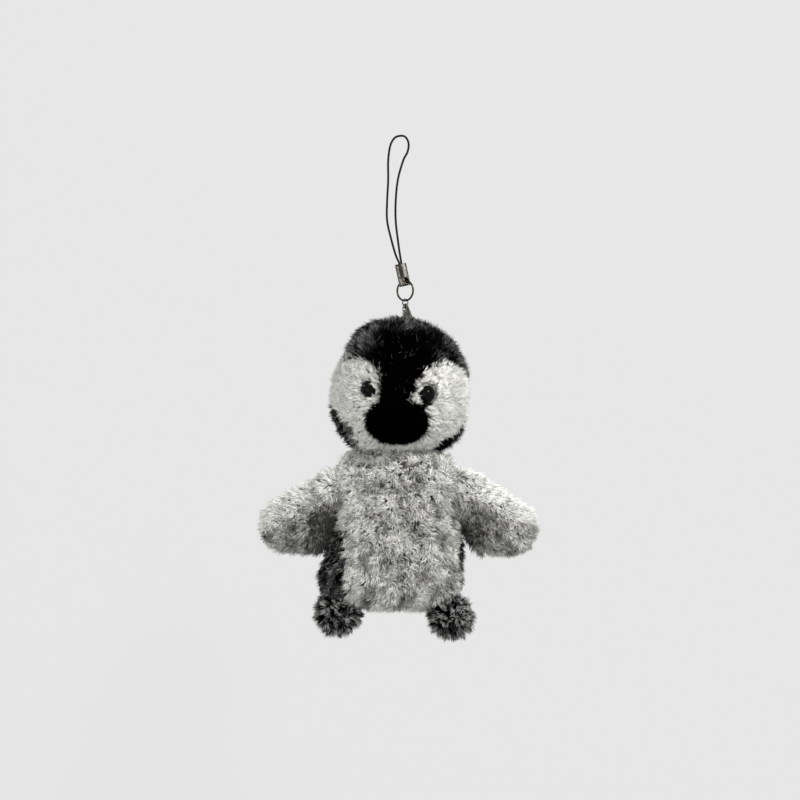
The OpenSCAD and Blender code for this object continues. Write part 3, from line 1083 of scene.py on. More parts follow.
@dataclass(frozen=True)
class Panel:
    """One cut piece of plush: its backing cloth and the pile on it.

    Args:
        name: The panel's name.
        finish: The plush that it is cut from.
        pile: How the plush is cut and combed.
        zone: Says which points of the form belong to the panel.
        comb: The way that the pile lies.
        tone: How pale the tufts are.
        seed: Sets the small differences.
    """

    BACKING: ClassVar[float] = 0.35
    LIFT: ClassVar[float] = 0.15
    BACKING_TONE: ClassVar[float] = 0.3

    name: str
    finish: bpy.types.Material
    pile: Pile
    zone: Zone
    comb: Comb
    tone: Tone
    seed: int

    def sew(self, pad: bpy.types.Object, bare: Zone) -> bpy.types.Object:
        """Makes the panel on a stuffed pad.

        Args:
            pad: What the panel covers.
            bare: Says which roots are hidden or covered, and grow nothing.

        Returns:
            The panel.
        """
        points, corners, starts, places = self._backing(pad.data)
        roots = Roots.on(pad.data, self.pile.spacing, self.seed)
        roots.points += roots.normals * (self.LIFT + self.BACKING / 2)
        keep = self.zone(roots.points) & ~bare(roots.points)
        fur = self.pile.grow(roots.only(keep), self.comb, self.tone, self.seed)
        fur_points, fur_corners, fur_starts, fur_places = fur.arrays()
        mesh = mesh_of(
            np.concatenate([points, fur_points]),
            np.concatenate([corners, fur_corners + len(points)]),
            np.concatenate([starts, fur_starts + len(corners)]),
            np.concatenate([places, fur_places]),
        )
        panel = link(mesh, self.name, self.finish)
        report(panel, f"{len(fur.root)} tufts")
        return panel

    def _backing(self, mesh: bpy.types.Mesh) -> tuple[Array, Array, Array, Array]:
        """The panel's cloth, as a thin closed shell, in arrays."""
        bm = bmesh.new()
        bm.from_mesh(mesh)
        middles = np.array([f.calc_center_median() for f in bm.faces]) / MM
        inside = self.zone(middles)
        bmesh.ops.delete(
            bm, geom=[f for f, keep in zip(bm.faces[:], inside) if not keep], context="FACES"
        )
        for vert in bm.verts:
            vert.co += vert.normal * (self.LIFT + self.BACKING) * MM
        bmesh.ops.solidify(bm, geom=bm.faces[:], thickness=self.BACKING * MM)
        bmesh.ops.recalc_face_normals(bm, faces=bm.faces)
        bm.verts.index_update()
        points = np.array([v.co for v in bm.verts], float).reshape(-1, 3) / MM
        corners = np.array([l.vert.index for f in bm.faces for l in f.loops])
        sizes = [len(f.loops) for f in bm.faces]
        starts = np.cumsum([0] + sizes[:-1])
        turn = np.array([k for size in sizes for k in range(size)])
        edge = 0.01
        places = np.stack(
            [self.BACKING_TONE + edge * (turn > 1), edge + edge * (turn % 3 > 0)], axis=1
        )
        bm.free()
        return points, corners, starts, places


def mesh_of(points: Array, corners: Array, starts: Array, places: Array) -> bpy.types.Mesh:
    """A mesh from arrays.

    Args:
        points: Points in millimetres.
        corners: The point at each corner of each face.
        starts: The first corner of each face.
        places: Each corner's place in the pile map.

    Returns:
        The mesh, in metres.
    """
    mesh = bpy.data.meshes.new("pile")
    mesh.vertices.add(len(points))
    mesh.loops.add(len(corners))
    mesh.polygons.add(len(starts))
    mesh.vertices.foreach_set("co", (points * MM).astype(np.float32).ravel())
    mesh.loops.foreach_set("vertex_index", corners.astype(np.int32))
    mesh.polygons.foreach_set("loop_start", starts.astype(np.int32))
    layer = mesh.uv_layers.new(name=PILE_UV)
    layer.data.foreach_set("uv", places.astype(np.float32).ravel())
    mesh.update(calc_edges=True)
    mesh.validate()
    return mesh


class Within:
    """Tells which points lie inside a stuffed pad, grown by a margin."""

    def __init__(self, pad: bpy.types.Object, margin: float) -> None:
        """Keeps the pad's surface."""
        points = read_points(pad.data)
        faces = [tuple(p.vertices) for p in pad.data.polygons]
        self.tree = BVHTree.FromPolygons([Vector(p) for p in points], faces)
        self.low = points.min(0) - margin
        self.high = points.max(0) + margin
        self.margin = margin

    def __call__(self, points: Array) -> Array:
        """A mask of the points inside."""
        mask = ((points > self.low) & (points < self.high)).all(1)
        for i in np.nonzero(mask)[0]:
            point = Vector(points[i])
            near, normal, _, far = self.tree.find_nearest(point)
            within = (point - near).dot(normal) < 0
            mask[i] = within or far < self.margin
        return mask


def in_outline(outline: Sequence[tuple[float, float]], x: Array, z: Array) -> Array:
    """Which places lie inside a closed outline, as seen from the front."""
    inside = np.zeros(len(x), bool)
    last = outline[-1]
    for here in outline:
        (x1, z1), (x2, z2) = last, here
        if z1 != z2:
            cut = x1 + (z - z1) * (x2 - x1) / (z2 - z1)
            inside ^= ((z1 > z) != (z2 > z)) & (x < cut)
        last = here
    return inside


def seam_of(zones: Sequence[Zone], reach: float) -> Zone:
    """Finds the seams between panels.

    Args:
        zones: The panels' zones.
        reach: How near a seam a point has to be.

    Returns:
        A zone that holds the points within reach of a seam.
    """
    steps = [way * reach * axis for axis in np.eye(3) for way in (1, -1)]

    def near(points: Array) -> Array:
        """Whether a small step from each point crosses a seam."""
        found = np.zeros(len(points), bool)
        for zone in zones:
            here = zone(points)
            for step in steps:
                found |= zone(points + step) != here
        return found

    return near


FIRST_SIDE = Vector((0.13, 1.0, 0.07))


def frames_along(path: Array, radius: float, closed: bool) -> list[Matrix]:
    """Where a round section stands at each point of a path, turning with it untwisted.

    Args:
        path: The points of the centreline, none of which heads along the first side.
        radius: The section's radius.
        closed: Whether the path runs back into its start.

    Returns:
        The section's place at each point, from a circle of radius 1.
    """
    ahead = np.roll(path, -1, 0) - np.roll(path, 1, 0)
    if not closed:
        ahead[0], ahead[-1] = path[1] - path[0], path[-1] - path[-2]
    side = FIRST_SIDE
    frames = []
    for point, heading in zip(path, ahead):
        along = Vector(heading).normalized()
        side = (side - along * side.dot(along)).normalized()
        across = side.cross(along)
        turn = Matrix((side, across, along)).transposed().to_4x4()
        scale = Matrix.Diagonal((radius, radius, 1, 1))
        frames.append(Matrix.Translation(Vector(point)) @ turn @ scale)
    return frames


def sweep(path: Array, radius: float, sides: int, closed: bool = False) -> bmesh.types.BMesh:
    """Sweeps a round section along a path.

    Args:
        path: The points of the centreline, in millimetres.
        radius: The section's radius.
        sides: Sides of the section.
        closed: Whether the path runs back into its start.

    Returns:
        The tube, with its pile map: across is around it and up is along it.
    """
    frames = frames_along(path, radius, closed)
    bm = bmesh.new()
    uv = bm.loops.layers.uv.new(PILE_UV)
    ring = bmesh.ops.create_circle(bm, cap_ends=False, segments=sides, radius=1.0)["verts"]
    bmesh.ops.transform(bm, matrix=frames[0], verts=ring)
    rings = [ring]
    for start, end in zip(frames, frames[1:]):
        edges = [e for e in bm.edges if all(v in rings[-1] for v in e.verts)]
        grown = bmesh.ops.extrude_edge_only(bm, edges=edges)["geom"]
        verts = [g for g in grown if isinstance(g, bmesh.types.BMVert)]
        bmesh.ops.transform(bm, matrix=end @ start.inverted(), verts=verts)
        rings.append(verts)
    level = {vert: k for k, verts in enumerate(rings) for vert in verts}
    back = [f.inverted() for f in frames]
    for face in bm.faces:
        turns = []
        for loop in face.loops:
            local = back[level[loop.vert]] @ loop.vert.co
            turns.append(math.atan2(local.y, local.x) / (2 * math.pi) % 1.0)
        wraps = max(turns) - min(turns) > 0.5
        for loop, turn in zip(face.loops, turns):
            turn += 1.0 if wraps and turn < 0.5 else 0.0
            loop[uv].uv = (turn, level[loop.vert] / (len(path) - 1))
    if closed:
        edges = [e for e in bm.edges if e.is_boundary]
        bmesh.ops.bridge_loops(bm, edges=edges)
    else:
        for verts in (rings[0], rings[-1]):
            edges = [e for e in bm.edges if all(v in verts for v in e.verts)]
            bmesh.ops.contextual_create(bm, geom=edges)
    bmesh.ops.recalc_face_normals(bm, faces=bm.faces)
    return bm


def through(points: Sequence[Point], steps: int) -> Array:
    """A smooth curve through points, with steps places to each stretch."""
    p = np.array(points, float)
    ends = len(p) - 1
    placed = []
    for i in range(ends):
        a, b, c, d = p[max(i - 1, 0)], p[i], p[i + 1], p[min(i + 2, ends)]
        for t in np.arange(steps) / steps:
            placed.append(
                0.5 * (2 * b + (c - a) * t + (2 * a - 5 * b + 4 * c - d) * t * t
                       + (3 * b - a - 3 * c + d) * t**3)
            )
    return np.array([*placed, p[-1]])


# ---- What the parts share ----

NECK_Z = -146.8
HEAD = Plump(
    centre=(-0.2, 0.0, -116.0), width=62.4, depth=56.0, up=31.0, down=30.0,
    power_up=2.0, power_down=3.4,
    pushes=(
        Push((-28.5, 0.0, -100.0), 9.0, -5.6), Push((-20.0, 0.0, -89.5), 5.0, 0.8),
        Push((-13.0, 0.0, -86.5), 4.5, -0.8), Push((-6.0, 0.0, -84.5), 3.5, -2.6),
        Push((3.0, 0.0, -84.0), 4.0, -0.8), Push((28.0, 0.0, -100.0), 6.0, -2.2),
        Push((24.0, 0.0, -92.0), 6.0, 0.6), Push((15.0, 0.0, -86.0), 7.0, -2.6),
        Push((-29.0, 0.0, -136.0), 7.0, -2.0), Push((-22.0, 0.0, -146.0), 7.0, 1.8),
        Push((21.0, 0.0, -145.0), 7.0, 1.4),
    ),
)
BEAK = Plump(
    centre=(-1.2, -22.0, -131.4), width=27.2, depth=24.0, up=8.2, down=10.0,
    power_up=2.7, power_down=2.1,
)
BODY = Plump(
    centre=(0.0, 0.0, -195.7), width=66.0, depth=46.0, up=53.0, down=22.5,
    power_up=2.9, power_down=4.4, lean=3.0, pivot=(0.0, 0.0, NECK_Z),
    pushes=(
        Push((-36.0, -2.0, -177.0), 15.0, -7.0), Push((34.0, -2.0, -177.0), 15.0, -5.5),
        Push((-38.0, 0.0, -218.0), 12.0, 8.5), Push((-25.0, 0.0, -152.0), 7.0, 3.2),
        Push((24.0, 0.0, -151.0), 8.0, 2.0), Push((32.0, 0.0, -205.0), 11.0, -2.0),
    ),
)
DARK_MOTTLE = Varied(Drift(31, 6.0), Drift(33, 2.0))


class Side(Enum):
    """The two sides of the toy, as seen from the front."""

    LEFT = -1
    RIGHT = 1

    @property
    def word(self) -> str:
        """The side's name in lower case."""
        return self.name.lower()


def dark_tone(p: Array) -> Array:
    """Charcoal plush with frosted flecks."""
    return DARK_MOTTLE.on(0.23, p, 0.12, 0.2)


def everywhere(p: Array) -> Array:
    """The zone of a cover that is all one panel."""
    return np.ones(len(p), bool)


@dataclass(frozen=True)
class Ring:
    """A ring of bent wire.

    Args:
        centre: Its middle.
        turn: Degrees about z that its plane is turned by.
        radius: Radius of the wire's centreline.
        wire: Radius of the wire.
        slit: Degrees from its top to where the wire's ends meet.
    """

    SLIT_WIDTH: ClassVar[float] = 0.10
    POINTS: ClassVar[int] = 73

    centre: Point
    turn: float
    radius: float
    wire: float
    slit: float

    def path(self) -> Array:
        """The wire's centreline, open by a hair where its ends meet."""
        gap = self.SLIT_WIDTH / self.radius
        angles = np.linspace(gap / 2, 2 * math.pi - gap / 2, self.POINTS) + math.radians(self.slit)
        c, s = math.cos(math.radians(self.turn)), math.sin(math.radians(self.turn))
        return np.array(self.centre) + self.radius * np.stack(
            [np.sin(angles) * c, np.sin(angles) * s, np.cos(angles)], axis=1
        )


SMALL_RING = Ring(
    centre=(2.4, -0.5, -77.09), turn=35.0, radius=1.575, wire=0.225, slit=150.0
)
JUMP_RING = Ring(
    centre=(2.4, -0.5, -71.65), turn=-38.0, radius=4.65, wire=0.45, slit=205.0
)


# ---- The parts of the toy ----


@dataclass
class Cord:
    """The braided cord loop, with its route from one end to the other."""

    radius: float = 0.5
    route: tuple[Point, ...] = (
        (0.3, 0, -62), (-0.3, 0, -59), (-2, 0, -55), (-4, 0, -48), (-6, 0, -39),
        (-6, 0.5, -30), (-5.5, 0.5, -20), (-5.5, 0, -11), (-4.5, 0, -4), (-2.5, 0, -0.5),
        (0, 0, 0.5), (2.5, 0, 0), (4, 0, -3), (3.5, 0, -7), (1.5, 0, -11), (-1, -0.5, -20),
        (-2, -0.5, -30), (-2, 0, -39), (-1, 0, -48), (0, 0, -55), (0.7, 0, -59), (1.3, 0, -62),
    )

    def build(self) -> None:
        """Makes the cord."""
        path = through(self.route, 5)
        cord = to_piece(sweep(path, self.radius, 14), "loop_cord", BRAID.material())
        stand_for(cord, "strap_cord", "strap")
        length = float(np.linalg.norm(np.diff(path, axis=0), axis=1).sum()) * MM
        report(cord, f"{length / MM:.0f} mm of cord")


@dataclass
class Crimp:
    """The sheet crimp that grips the cord's two ends, its flaps meeting askew in front.

    Its eyes are each a place, a radius, degrees about z and a depth. The square
    powers say how square its section is across and deep: 1 is round. The skew
    and the gap between the flaps are shares of a turn, at the top and added at
    the bottom. The pinch and the groove are shares of its depth and of both.
    """

    top: Point = (0.2, 0.0, -59.2)
    length: float = 10.4
    width: float = 4.8
    depth: float = 3.2
    wall: float = 0.5
    edge_round: float = 0.09
    lean: float = 12.0
    sharp: float = 40.0
    square: tuple[float, float] = (0.62, 0.75)
    skew: tuple[float, float] = (0.02, 0.07)
    gap: tuple[float, float] = (0.012, 0.05)
    pinch: float = 0.16
    groove: float = 0.22
    eyes: tuple[tuple[Point, float, float, float], ...] = (
        ((2.4, -0.5, -67.3), 1.15, -38.0, 12.0), ((2.8, -2.2, -66.3), 0.9, -90.0, 3.0),
    )

    def build(self) -> None:
        """Folds a strip of sheet round the cord's ends and cuts its eyes."""
        bm = bmesh.new()
        bmesh.ops.create_grid(bm, x_segments=72, y_segments=16, size=0.5)
        grime = bm.verts.layers.float.new(PAINTED_SHADE)
        for vert in bm.verts:
            vert.co, vert[grime] = self._folded(vert.co.x + 0.5, 0.5 - vert.co.y)
        thicken(bm, self.wall)
        both = bm.verts[:]
        # painted shade on the inner side of the folded sheet
        for pair in zip(both, both[len(both) // 2 :]):
            min(pair, key=lambda v: v.co.xy.length)[grime] = 1.0
        place_at(bm, turned(-self.lean, "Y"), self.top)
        crimp = to_piece(bm, "cord_clamp", NICKEL_MATERIAL)
        cutters = [self._cut(crimp, *eye) for eye in self.eyes]
        soften(crimp, self.edge_round)
        bake_in(crimp)
        for cutter in cutters:
            bpy.data.objects.remove(cutter)
        crimp.data.set_sharp_from_angle(angle=math.radians(self.sharp))
        stand_for(crimp, "cord_crimp", "strap")
        report(crimp, "folded sheet crimp")

    def _folded(self, share: float, down: float) -> tuple[Point, float]:
        """Where a point of the crimp's flat strip goes, and how much painted shade it gets.

        Args:
            share: From 0 at the lip of one flap to 1 at the lip of the other.
            down: From 0 at the top to 1 at the bottom.

        Returns:
            The place below the crimp's top, and the painted shade from 0 to about 1.
        """
        half_w = self.width / 2 - self.wall / 2
        half_d = self.depth / 2 - self.wall / 2
        meet = self.skew[0] + self.skew[1] * smooth(0.45, 1.0, down)
        gap = self.gap[0] + self.gap[1] * smooth(0.7, 1.0, down)
        angle = 2 * math.pi * (meet + gap / 2 + share * (1 - gap)) - math.pi / 2
        c, s = math.cos(angle), math.sin(angle)
        x = math.copysign(abs(c) ** self.square[0], c) * half_w
        y = math.copysign(abs(s) ** self.square[1], s) * half_d
        pinch = 1.0 - self.pinch * smooth(0.35, 0.0, down)
        groove = 1.0 - self.groove * bell(min(share, 1 - share), 0.0, 0.025)
        place = (x * groove, y * pinch * groove, -down * self.length)
        # painted highlight along the lips of the flaps; painted shade at the fold, along the sides
        # and some all over; darker at both ends
        lip = bell(share, 0.035, 0.025)
        fold = bell(1 - share, 0.03, 0.035)
        sides = bell(1 - share - 0.25, meet, 0.07) + 0.8 * bell(share - 0.25, -meet, 0.05)
        rims = smooth(0.93, 0.98, down) + 0.6 * smooth(0.05, 0.0, down)
        return place, 0.4 + 0.6 * fold + 0.4 * sides + 0.6 * float(rims) - 0.5 * lip

    def _cut(
        self, crimp: bpy.types.Object, place: Point, radius: float, turn: float, depth: float
    ) -> bpy.types.Object:
        """Has a round eye cut through the crimp when its modifiers are baked in.

        Args:
            crimp: What is cut.
            place: The middle of the drill.
            radius: Radius of the eye.
            turn: Degrees about z that the drill is turned by.
            depth: Length of the drill.

        Returns:
            The drill, which is removed after the baking.
        """
        drill = bmesh.new()
        bmesh.ops.create_cone(
            drill, cap_ends=True, segments=40, radius1=radius, radius2=radius, depth=depth
        )
        place_at(drill, turned(turn, "Z") @ turned(90, "Y"), place)
        cutter = to_piece(drill, "drill", NICKEL_MATERIAL)
        cut = crimp.modifiers.new("eye", "BOOLEAN")
        cut.operation, cut.solver, cut.object = "DIFFERENCE", "MANIFOLD", cutter
        return cutter


@dataclass
class Rings:
    """The jump ring, the small ring and the short chain."""

    chain_top: Point = (1.765, -0.945, -78.432)
    links: int = 3
    link_rise: float = 0.63
    pitch: float = 1.54
    link_length: float = 2.3
    link_width: float = 1.6
    link_wire: float = 0.35
    link_points: int = 40

    def build(self) -> None:
        """Makes the rings and the links."""
        for name, ring in (("jump_ring", JUMP_RING), ("small_ring", SMALL_RING)):
            wire = to_piece(sweep(ring.path(), ring.wire, 16), f"{name}_wire", WIRE_MATERIAL)
            self._finish(wire, name)
        for index in range(self.links):
            self._finish(self._link(index), f"chain_link_{index + 1}")

    def _finish(self, piece: bpy.types.Object, node: str) -> None:
        """Lets a piece stand for its node."""
        stand_for(piece, node, node)
        report(piece, "bent wire")

    def _link(self, index: int) -> bpy.types.Object:
        """A long link, square to the small ring or flat with it by turns."""
        bend = (self.link_width - self.link_wire) / 2
        straight = self.link_length - self.link_width
        count = self.link_points
        angles = np.linspace(0, 2 * math.pi, count + 1)[:-1] + math.pi / count
        x = bend * np.cos(angles)
        z = bend * np.sin(angles) - bend - np.where(np.sin(angles) < 0, straight, 0.0)
        turn = math.radians(SMALL_RING.turn + (90.0 if index % 2 == 0 else 0.0))
        top = np.array(self.chain_top) + [0, 0, self.link_rise - index * self.pitch]
        path = top + np.stack([x * math.cos(turn), x * math.sin(turn), z], axis=1)
        bm = sweep(path, self.link_wire / 2, 12, closed=True)
        return to_piece(bm, f"chain_wire_{index + 1}", WIRE_MATERIAL)


@dataclass
class Tab:
    """A suede strip folded over the small ring and sewn into the crown."""

    top: Point = (2.937, -0.124, -78.375)
    loop_radius: float = 0.82
    leather: float = 0.36
    neck_width: float = 1.9
    foot_width: float = 5.2
    loop_width: float = 1.1
    neck_z: float = -80.5
    seam_z: float = -84.8
    foot_z: float = -88.0
    foot_x: float = 3.6
    foot_y: float = 0.8
    half_gap: float = 0.26
    crease_depth: float = 0.30
    straight: float = 0.44
    edge_round: float = 0.07

    def build(self) -> None:
        """Makes the strip."""
        bm = bmesh.new()
        bmesh.ops.create_grid(bm, x_segments=18, y_segments=60, size=0.5)
        grime = bm.verts.layers.float.new(PAINTED_SHADE)
        for vert in bm.verts:
            across, along = vert.co.x, vert.co.y + 0.5
            # painted shade in the crease, and darker along both edges
            vert.co, vert[grime] = self._place(across, along)
            vert[grime] += 0.4 * float(smooth(0.40, 0.48, abs(across)))
        thicken(bm, self.leather)
        tab = to_piece(bm, "suede_tab", SUEDE.material())
        soften(tab, self.edge_round)
        bake_in(tab)
        stand_for(tab, "hang_tab", "head")
        report(tab, "folded strip")

    def _place(self, across: float, along: float) -> tuple[Point, float]:
        """Where a point of the flat strip goes, and how much painted shade its crease gives it.

        Args:
            across: From -0.5 at one edge to 0.5 at the other.
            along: Runs up the front and down the back, from 0 to 1.

        Returns:
            The place, and 0 to 1 for the painted shade in the crease.
        """
        lower, upper = self.foot_z, self.top[2]
        if along < self.straight or along > 1 - self.straight:
            share = min(along, 1 - along) / self.straight
            z = lower + (upper - lower) * share
            rise = float(smooth(self.neck_z - 1.2, upper, z))
            way = -1 if along < 0.5 else 1
            y = way * (self.half_gap + (self.loop_radius - self.half_gap) * rise)
        else:
            angle = math.pi * (along - self.straight) / (1 - 2 * self.straight)
            z = upper + self.loop_radius * math.sin(angle)
            y = -self.loop_radius * math.cos(angle)
        high = float(smooth(self.seam_z, self.neck_z, z))
        loop = float(smooth(self.neck_z - 0.4, upper, z))
        taper = min(1.0, max(0.0, (z - self.seam_z) / (self.neck_z - self.seam_z)))
        width = self.foot_width + (self.neck_width - self.foot_width) * taper
        width += (self.loop_width - self.neck_width) * loop
        crease = bell(across - 0.05, -0.25 * (1 - high), 0.13)
        if along > 0.5:
            crease = 0.0
        else:
            y += self.crease_depth * crease * (1 - loop) - 0.10 * (1 - loop)
        turn = math.radians(SMALL_RING.turn) * loop
        x = across * width
        middle_x = self.foot_x + (self.top[0] - self.foot_x) * loop
        middle_y = self.foot_y + (self.top[1] - self.foot_y) * loop
        place = (
            middle_x + x * math.cos(turn) - y * math.sin(turn),
            middle_y + x * math.sin(turn) + y * math.cos(turn),
            z,
        )
        return place, crease * (1 - loop)


@dataclass
class Head:
    """The stuffed head: crown, back, two white cheeks, beak and domed eyes.

    The cheeks end in front of the crown's seam, and bow forward above and below
    their widest line. The patch is a place and a radius that one cheek leaves to
    the crown. No pile grows within the clear distance of each eye. The pile lies
    away from the two middles, and the tones say how pale it is, from 0 to 1.
    """

    inset: float = 3.1
    beak_inset: float = 1.4
    cheek_edge_y: float = 3.4
    cheek_edge_z: float = -118.0
    cheek_edge_half: float = 30.0
    cheek_edge_bow: float = 7.0
    seam_y: float = 4.0
    left_cheek: tuple[tuple[float, float], ...] = (
        (-40, -110), (-30, -106.4), (-24, -104.6), (-16, -104.8), (-10.8, -107.5), (-8.0, -112),
        (-7.6, -118), (-7.8, -123), (-6, -138), (1, -138), (1, -152), (-19, -152), (-20, -145),
        (-19.2, -139), (-19.6, -134), (-23, -130.4), (-27.5, -126.4), (-30, -123.6), (-40, -121),
    )
    right_cheek: tuple[tuple[float, float], ...] = (
        (40, -123), (30.4, -120), (28.8, -115.5), (26.8, -111), (24, -107.6), (18, -107.4),
        (11.5, -108.8), (8.0, -112.5), (5.0, -117.5), (3.4, -122.5), (6, -138), (1, -138),
        (1, -152), (11, -152), (12, -143.6), (17, -139.6), (23.5, -135.8), (27, -132), (40, -129),
    )
    patch: tuple[float, float, float] = (8.6, -124.4, 1.9)
    eye_left: tuple[float, float] = (-14.6, -117.7)
    eye_right: tuple[float, float] = (12.7, -119.8)
    eye_radius: float = 3.8
    eye_height: float = 2.6
    eye_sink: float = 0.7
    eye_clear: tuple[float, float] = (4.4, 5.2)
    post_radius: float = 1.1
    post_length: float = 8.0
    face_middle: Point = (-1.0, -30.0, -126.0)
    crown_middle: Point = (0.0, -34.0, -116.0)
    left_tone: float = 0.88
    right_tone: float = 0.84
    # painted shade on the chin, under the beak
    neck_dark: float = 0.18
    side_frost: tuple[float, float] = (0.62, 0.27)
    top_frost: float = 0.27

    def cheek(self, side: Side) -> Zone:
        """The zone of one white cheek."""
        outline = self.left_cheek if side is Side.LEFT else self.right_cheek

        def zone(p: Array) -> Array:
            """Points in front and within the cheek's outline."""
            x, z, radius = self.patch
            away = np.hypot(p[:, 0] - x, p[:, 2] - z) > radius
            bow = ((p[:, 2] - self.cheek_edge_z) / self.cheek_edge_half) ** 2
            edge = self.cheek_edge_y - self.cheek_edge_bow * bow
            return (p[:, 1] < edge) & in_outline(outline, p[:, 0], p[:, 2]) & away

        return zone

    def crown(self, p: Array) -> Array:
        """The zone of the crown, with its stripe down the face."""
        cheeks = self.cheek(Side.LEFT)(p) | self.cheek(Side.RIGHT)(p)
        return (p[:, 1] <= self.seam_y) & ~cheeks

    def back(self, side: Side) -> Zone:
        """The zone of one half of the head's back."""
        return lambda p: (p[:, 1] > self.seam_y) & (p[:, 0] * side.value >= 0)

    def face_y(self, x: float, z: float) -> float:
        """How far in front of its middle the head's surface lies."""
        dz = z - HEAD.centre[2]
        share, power = (
            (dz / HEAD.up, HEAD.power_up) if dz > 0 else (-dz / HEAD.down, HEAD.power_down)
        )
        radius = HEAD.width / 2 * (1 - share**power) ** (1 / power)
        return HEAD.depth / HEAD.width * math.sqrt(radius**2 - (x - HEAD.centre[0]) ** 2)

    def build(self) -> None:
        """Makes the pads of the head and of the beak."""
        seam = seam_of([self.cheek(Side.LEFT), self.cheek(Side.RIGHT), self.crown], 1.0)
        self.pad = Stuffing(voxel=2.0, swell=1.0).fill(HEAD.skin(self.inset), "head_filling", seam)
        beak = BEAK.skin(self.beak_inset)
        self.beak_pad = Stuffing(voxel=1.2, swell=0.5).fill(beak, "beak_filling")
        stand_for(self.pad, "head_stuffing", "head")
        stand_for(self.beak_pad, "beak_stuffing", "head")

    def cover(self, in_torso: Zone) -> None:
        """Sews the panels on and sets the eyes.

        Args:
            in_torso: Says which points are hidden in the body.
        """
        in_beak, in_head = Within(self.beak_pad, 0.3), Within(self.pad, 0.4)
        eyes = [np.array((x, -self.face_y(x, z), z)) for x, z in (self.eye_left, self.eye_right)]

        def bare(p: Array) -> Array:
            """Under the beak, an eye or the body."""
            found = in_beak(p) | in_torso(p)
            for eye, clear in zip(eyes, self.eye_clear):
                found |= np.linalg.norm(p - eye, axis=1) < clear
            return found

        curl = Varied(Swirl(11, 9.0), Swirl(15, 3.5))
        mottle = Varied(Drift(21, 5.0), Drift(23, 2.2))

        def outward(p: Array) -> Array:
            """Away from the middle of the face and from the right eye, drifting a little."""
            away = unit((p - np.array(self.face_middle)) * (1, 0.4, 1))
            from_eye = p - eyes[1]
            near = np.linalg.norm(from_eye, axis=1, keepdims=True)
            away = away + 2.0 * from_eye / near * peak(near, 4.0, 2.0)
            return curl.on(away, p, 0.2, 0.2)

        def swept(p: Array) -> Array:
            """Up and back over the crown, curling."""
            return curl.on(unit(p - np.array(self.crown_middle)), p, 0.5, 0.2)

        def down(p: Array) -> Array:
            """Down the nape."""
            return curl.on(np.array((0, 0.2, -1.0)), p, 0.4, 0.2)

        def white(level: float) -> Tone:
            """A pale tone with soft grey patches, and painted shade towards the neck under the
            beak.
            """
            return lambda p: (
                mottle.on(level, p, 0.12, 0.12)
                - self.neck_dark * smooth(-138.0, -147.0, p[:, 2])
            )

        def frosted(p: Array) -> Array:
            """Black along the middle, frosted grey towards the top and the sides."""
            side = smooth(7.0, 24.0, np.abs(p[:, 0] - 1.0))
            side *= np.where(p[:, 0] < 0, *self.side_frost)
            side *= 1.0 - 0.6 * smooth(-116.0, -130.0, p[:, 2])
            top = self.top_frost * smooth(-97.0, -88.0, p[:, 2])
            return np.clip(side + top, 0, 0.8) * mottle.on(0.8, p, 0.6, 0.6)

        cheek = ("white_plush", CHEEK_PLUSH, CHEEK_PILE, outward)
        crown = ("black_plush", CROWN_PLUSH, CROWN_PILE, swept)
        nape = ("dark_plush", DARK_PLUSH, NAPE_PILE, down)
        left, right = Side.LEFT, Side.RIGHT
        panels = (
            ("cheek_left", "cheek_left_plush", self.cheek(left), white(self.left_tone), cheek),
            ("cheek_right", "cheek_right_plush", self.cheek(right), white(self.right_tone), cheek),
            ("head_crown", "crown_plush", self.crown, frosted, crown),
            ("head_back", "nape_left_plush", self.back(left), dark_tone, nape),
            ("head_back", "nape_right_plush", self.back(right), dark_tone, nape),
        )
        for seed, (node, name, zone, tone, (slot, finish, pile, comb)) in enumerate(panels):
            panel = Panel(name, PLUSH[finish], pile, zone, comb, tone, 100 + seed)
            stand_for(panel.sew(self.pad, bare), node, "head")
        beak = Panel(
            "beak_plush", PLUSH[BEAK_PLUSH], BEAK_PILE, everywhere, outward,
            lambda p: 0.4 + 0.2 * mottle.fine.at(p), 120,
        )
        stand_for(beak.sew(self.beak_pad, in_head), "beak_cover", "head")
        self._eye(left.word, self.eye_left)
        self._eye(right.word, self.eye_right)

    def _eye(self, name: str, place: tuple[float, float]) -> None:
        """A glossy dome with a rolled rim, on its post.

        Args:
            name: The eye's side, in lower case.
            place: Its middle, as seen from the front.
        """
        x, z = place
        y = self.face_y(x, z)
        dome = (self.eye_radius**2 + self.eye_height**2) / (2 * self.eye_height)
        middle = self.eye_height - self.eye_sink - dome
        half = math.asin(self.eye_radius / dome)
        steps = 14
        bm = bmesh.new()
        arc = [
            (dome * math.sin(half * k / steps), middle + dome * math.cos(half * k / steps))
            for k in range(steps + 1)
        ]
        rim, back = self.eye_radius, -self.eye_sink - 0.5
        line = arc + [
            (rim - 0.12, -self.eye_sink - 0.35), (rim - 0.6, back), (self.post_radius, back),
            (self.post_radius, -self.post_length), (0.0, -self.post_length),
        ]
        verts = [bm.verts.new((r, 0, h)) for r, h in line]
        edges = [bm.edges.new(pair) for pair in zip(verts, verts[1:])]
        bmesh.ops.spin(
            bm, geom=verts + edges, cent=(0, 0, 0), axis=(0, 0, 1), dvec=(0, 0, 0),
            angle=2 * math.pi, steps=48, use_merge=True,
        )
        bmesh.ops.remove_doubles(bm, verts=bm.verts, dist=1e-4)
        bmesh.ops.recalc_face_normals(bm, faces=bm.faces)
        turn = math.atan2((x - HEAD.centre[0]) / HEAD.width**2, y / HEAD.depth**2)
        place_at(bm, Matrix.Rotation(turn, 3, "Z") @ turned(90, "X"), (x, -y, z))
        eye = to_piece(bm, f"eye_dome_{name}", EYE_MATERIAL)
        stand_for(eye, f"eye_{name}", "head")
        report(eye, "glossy dome")


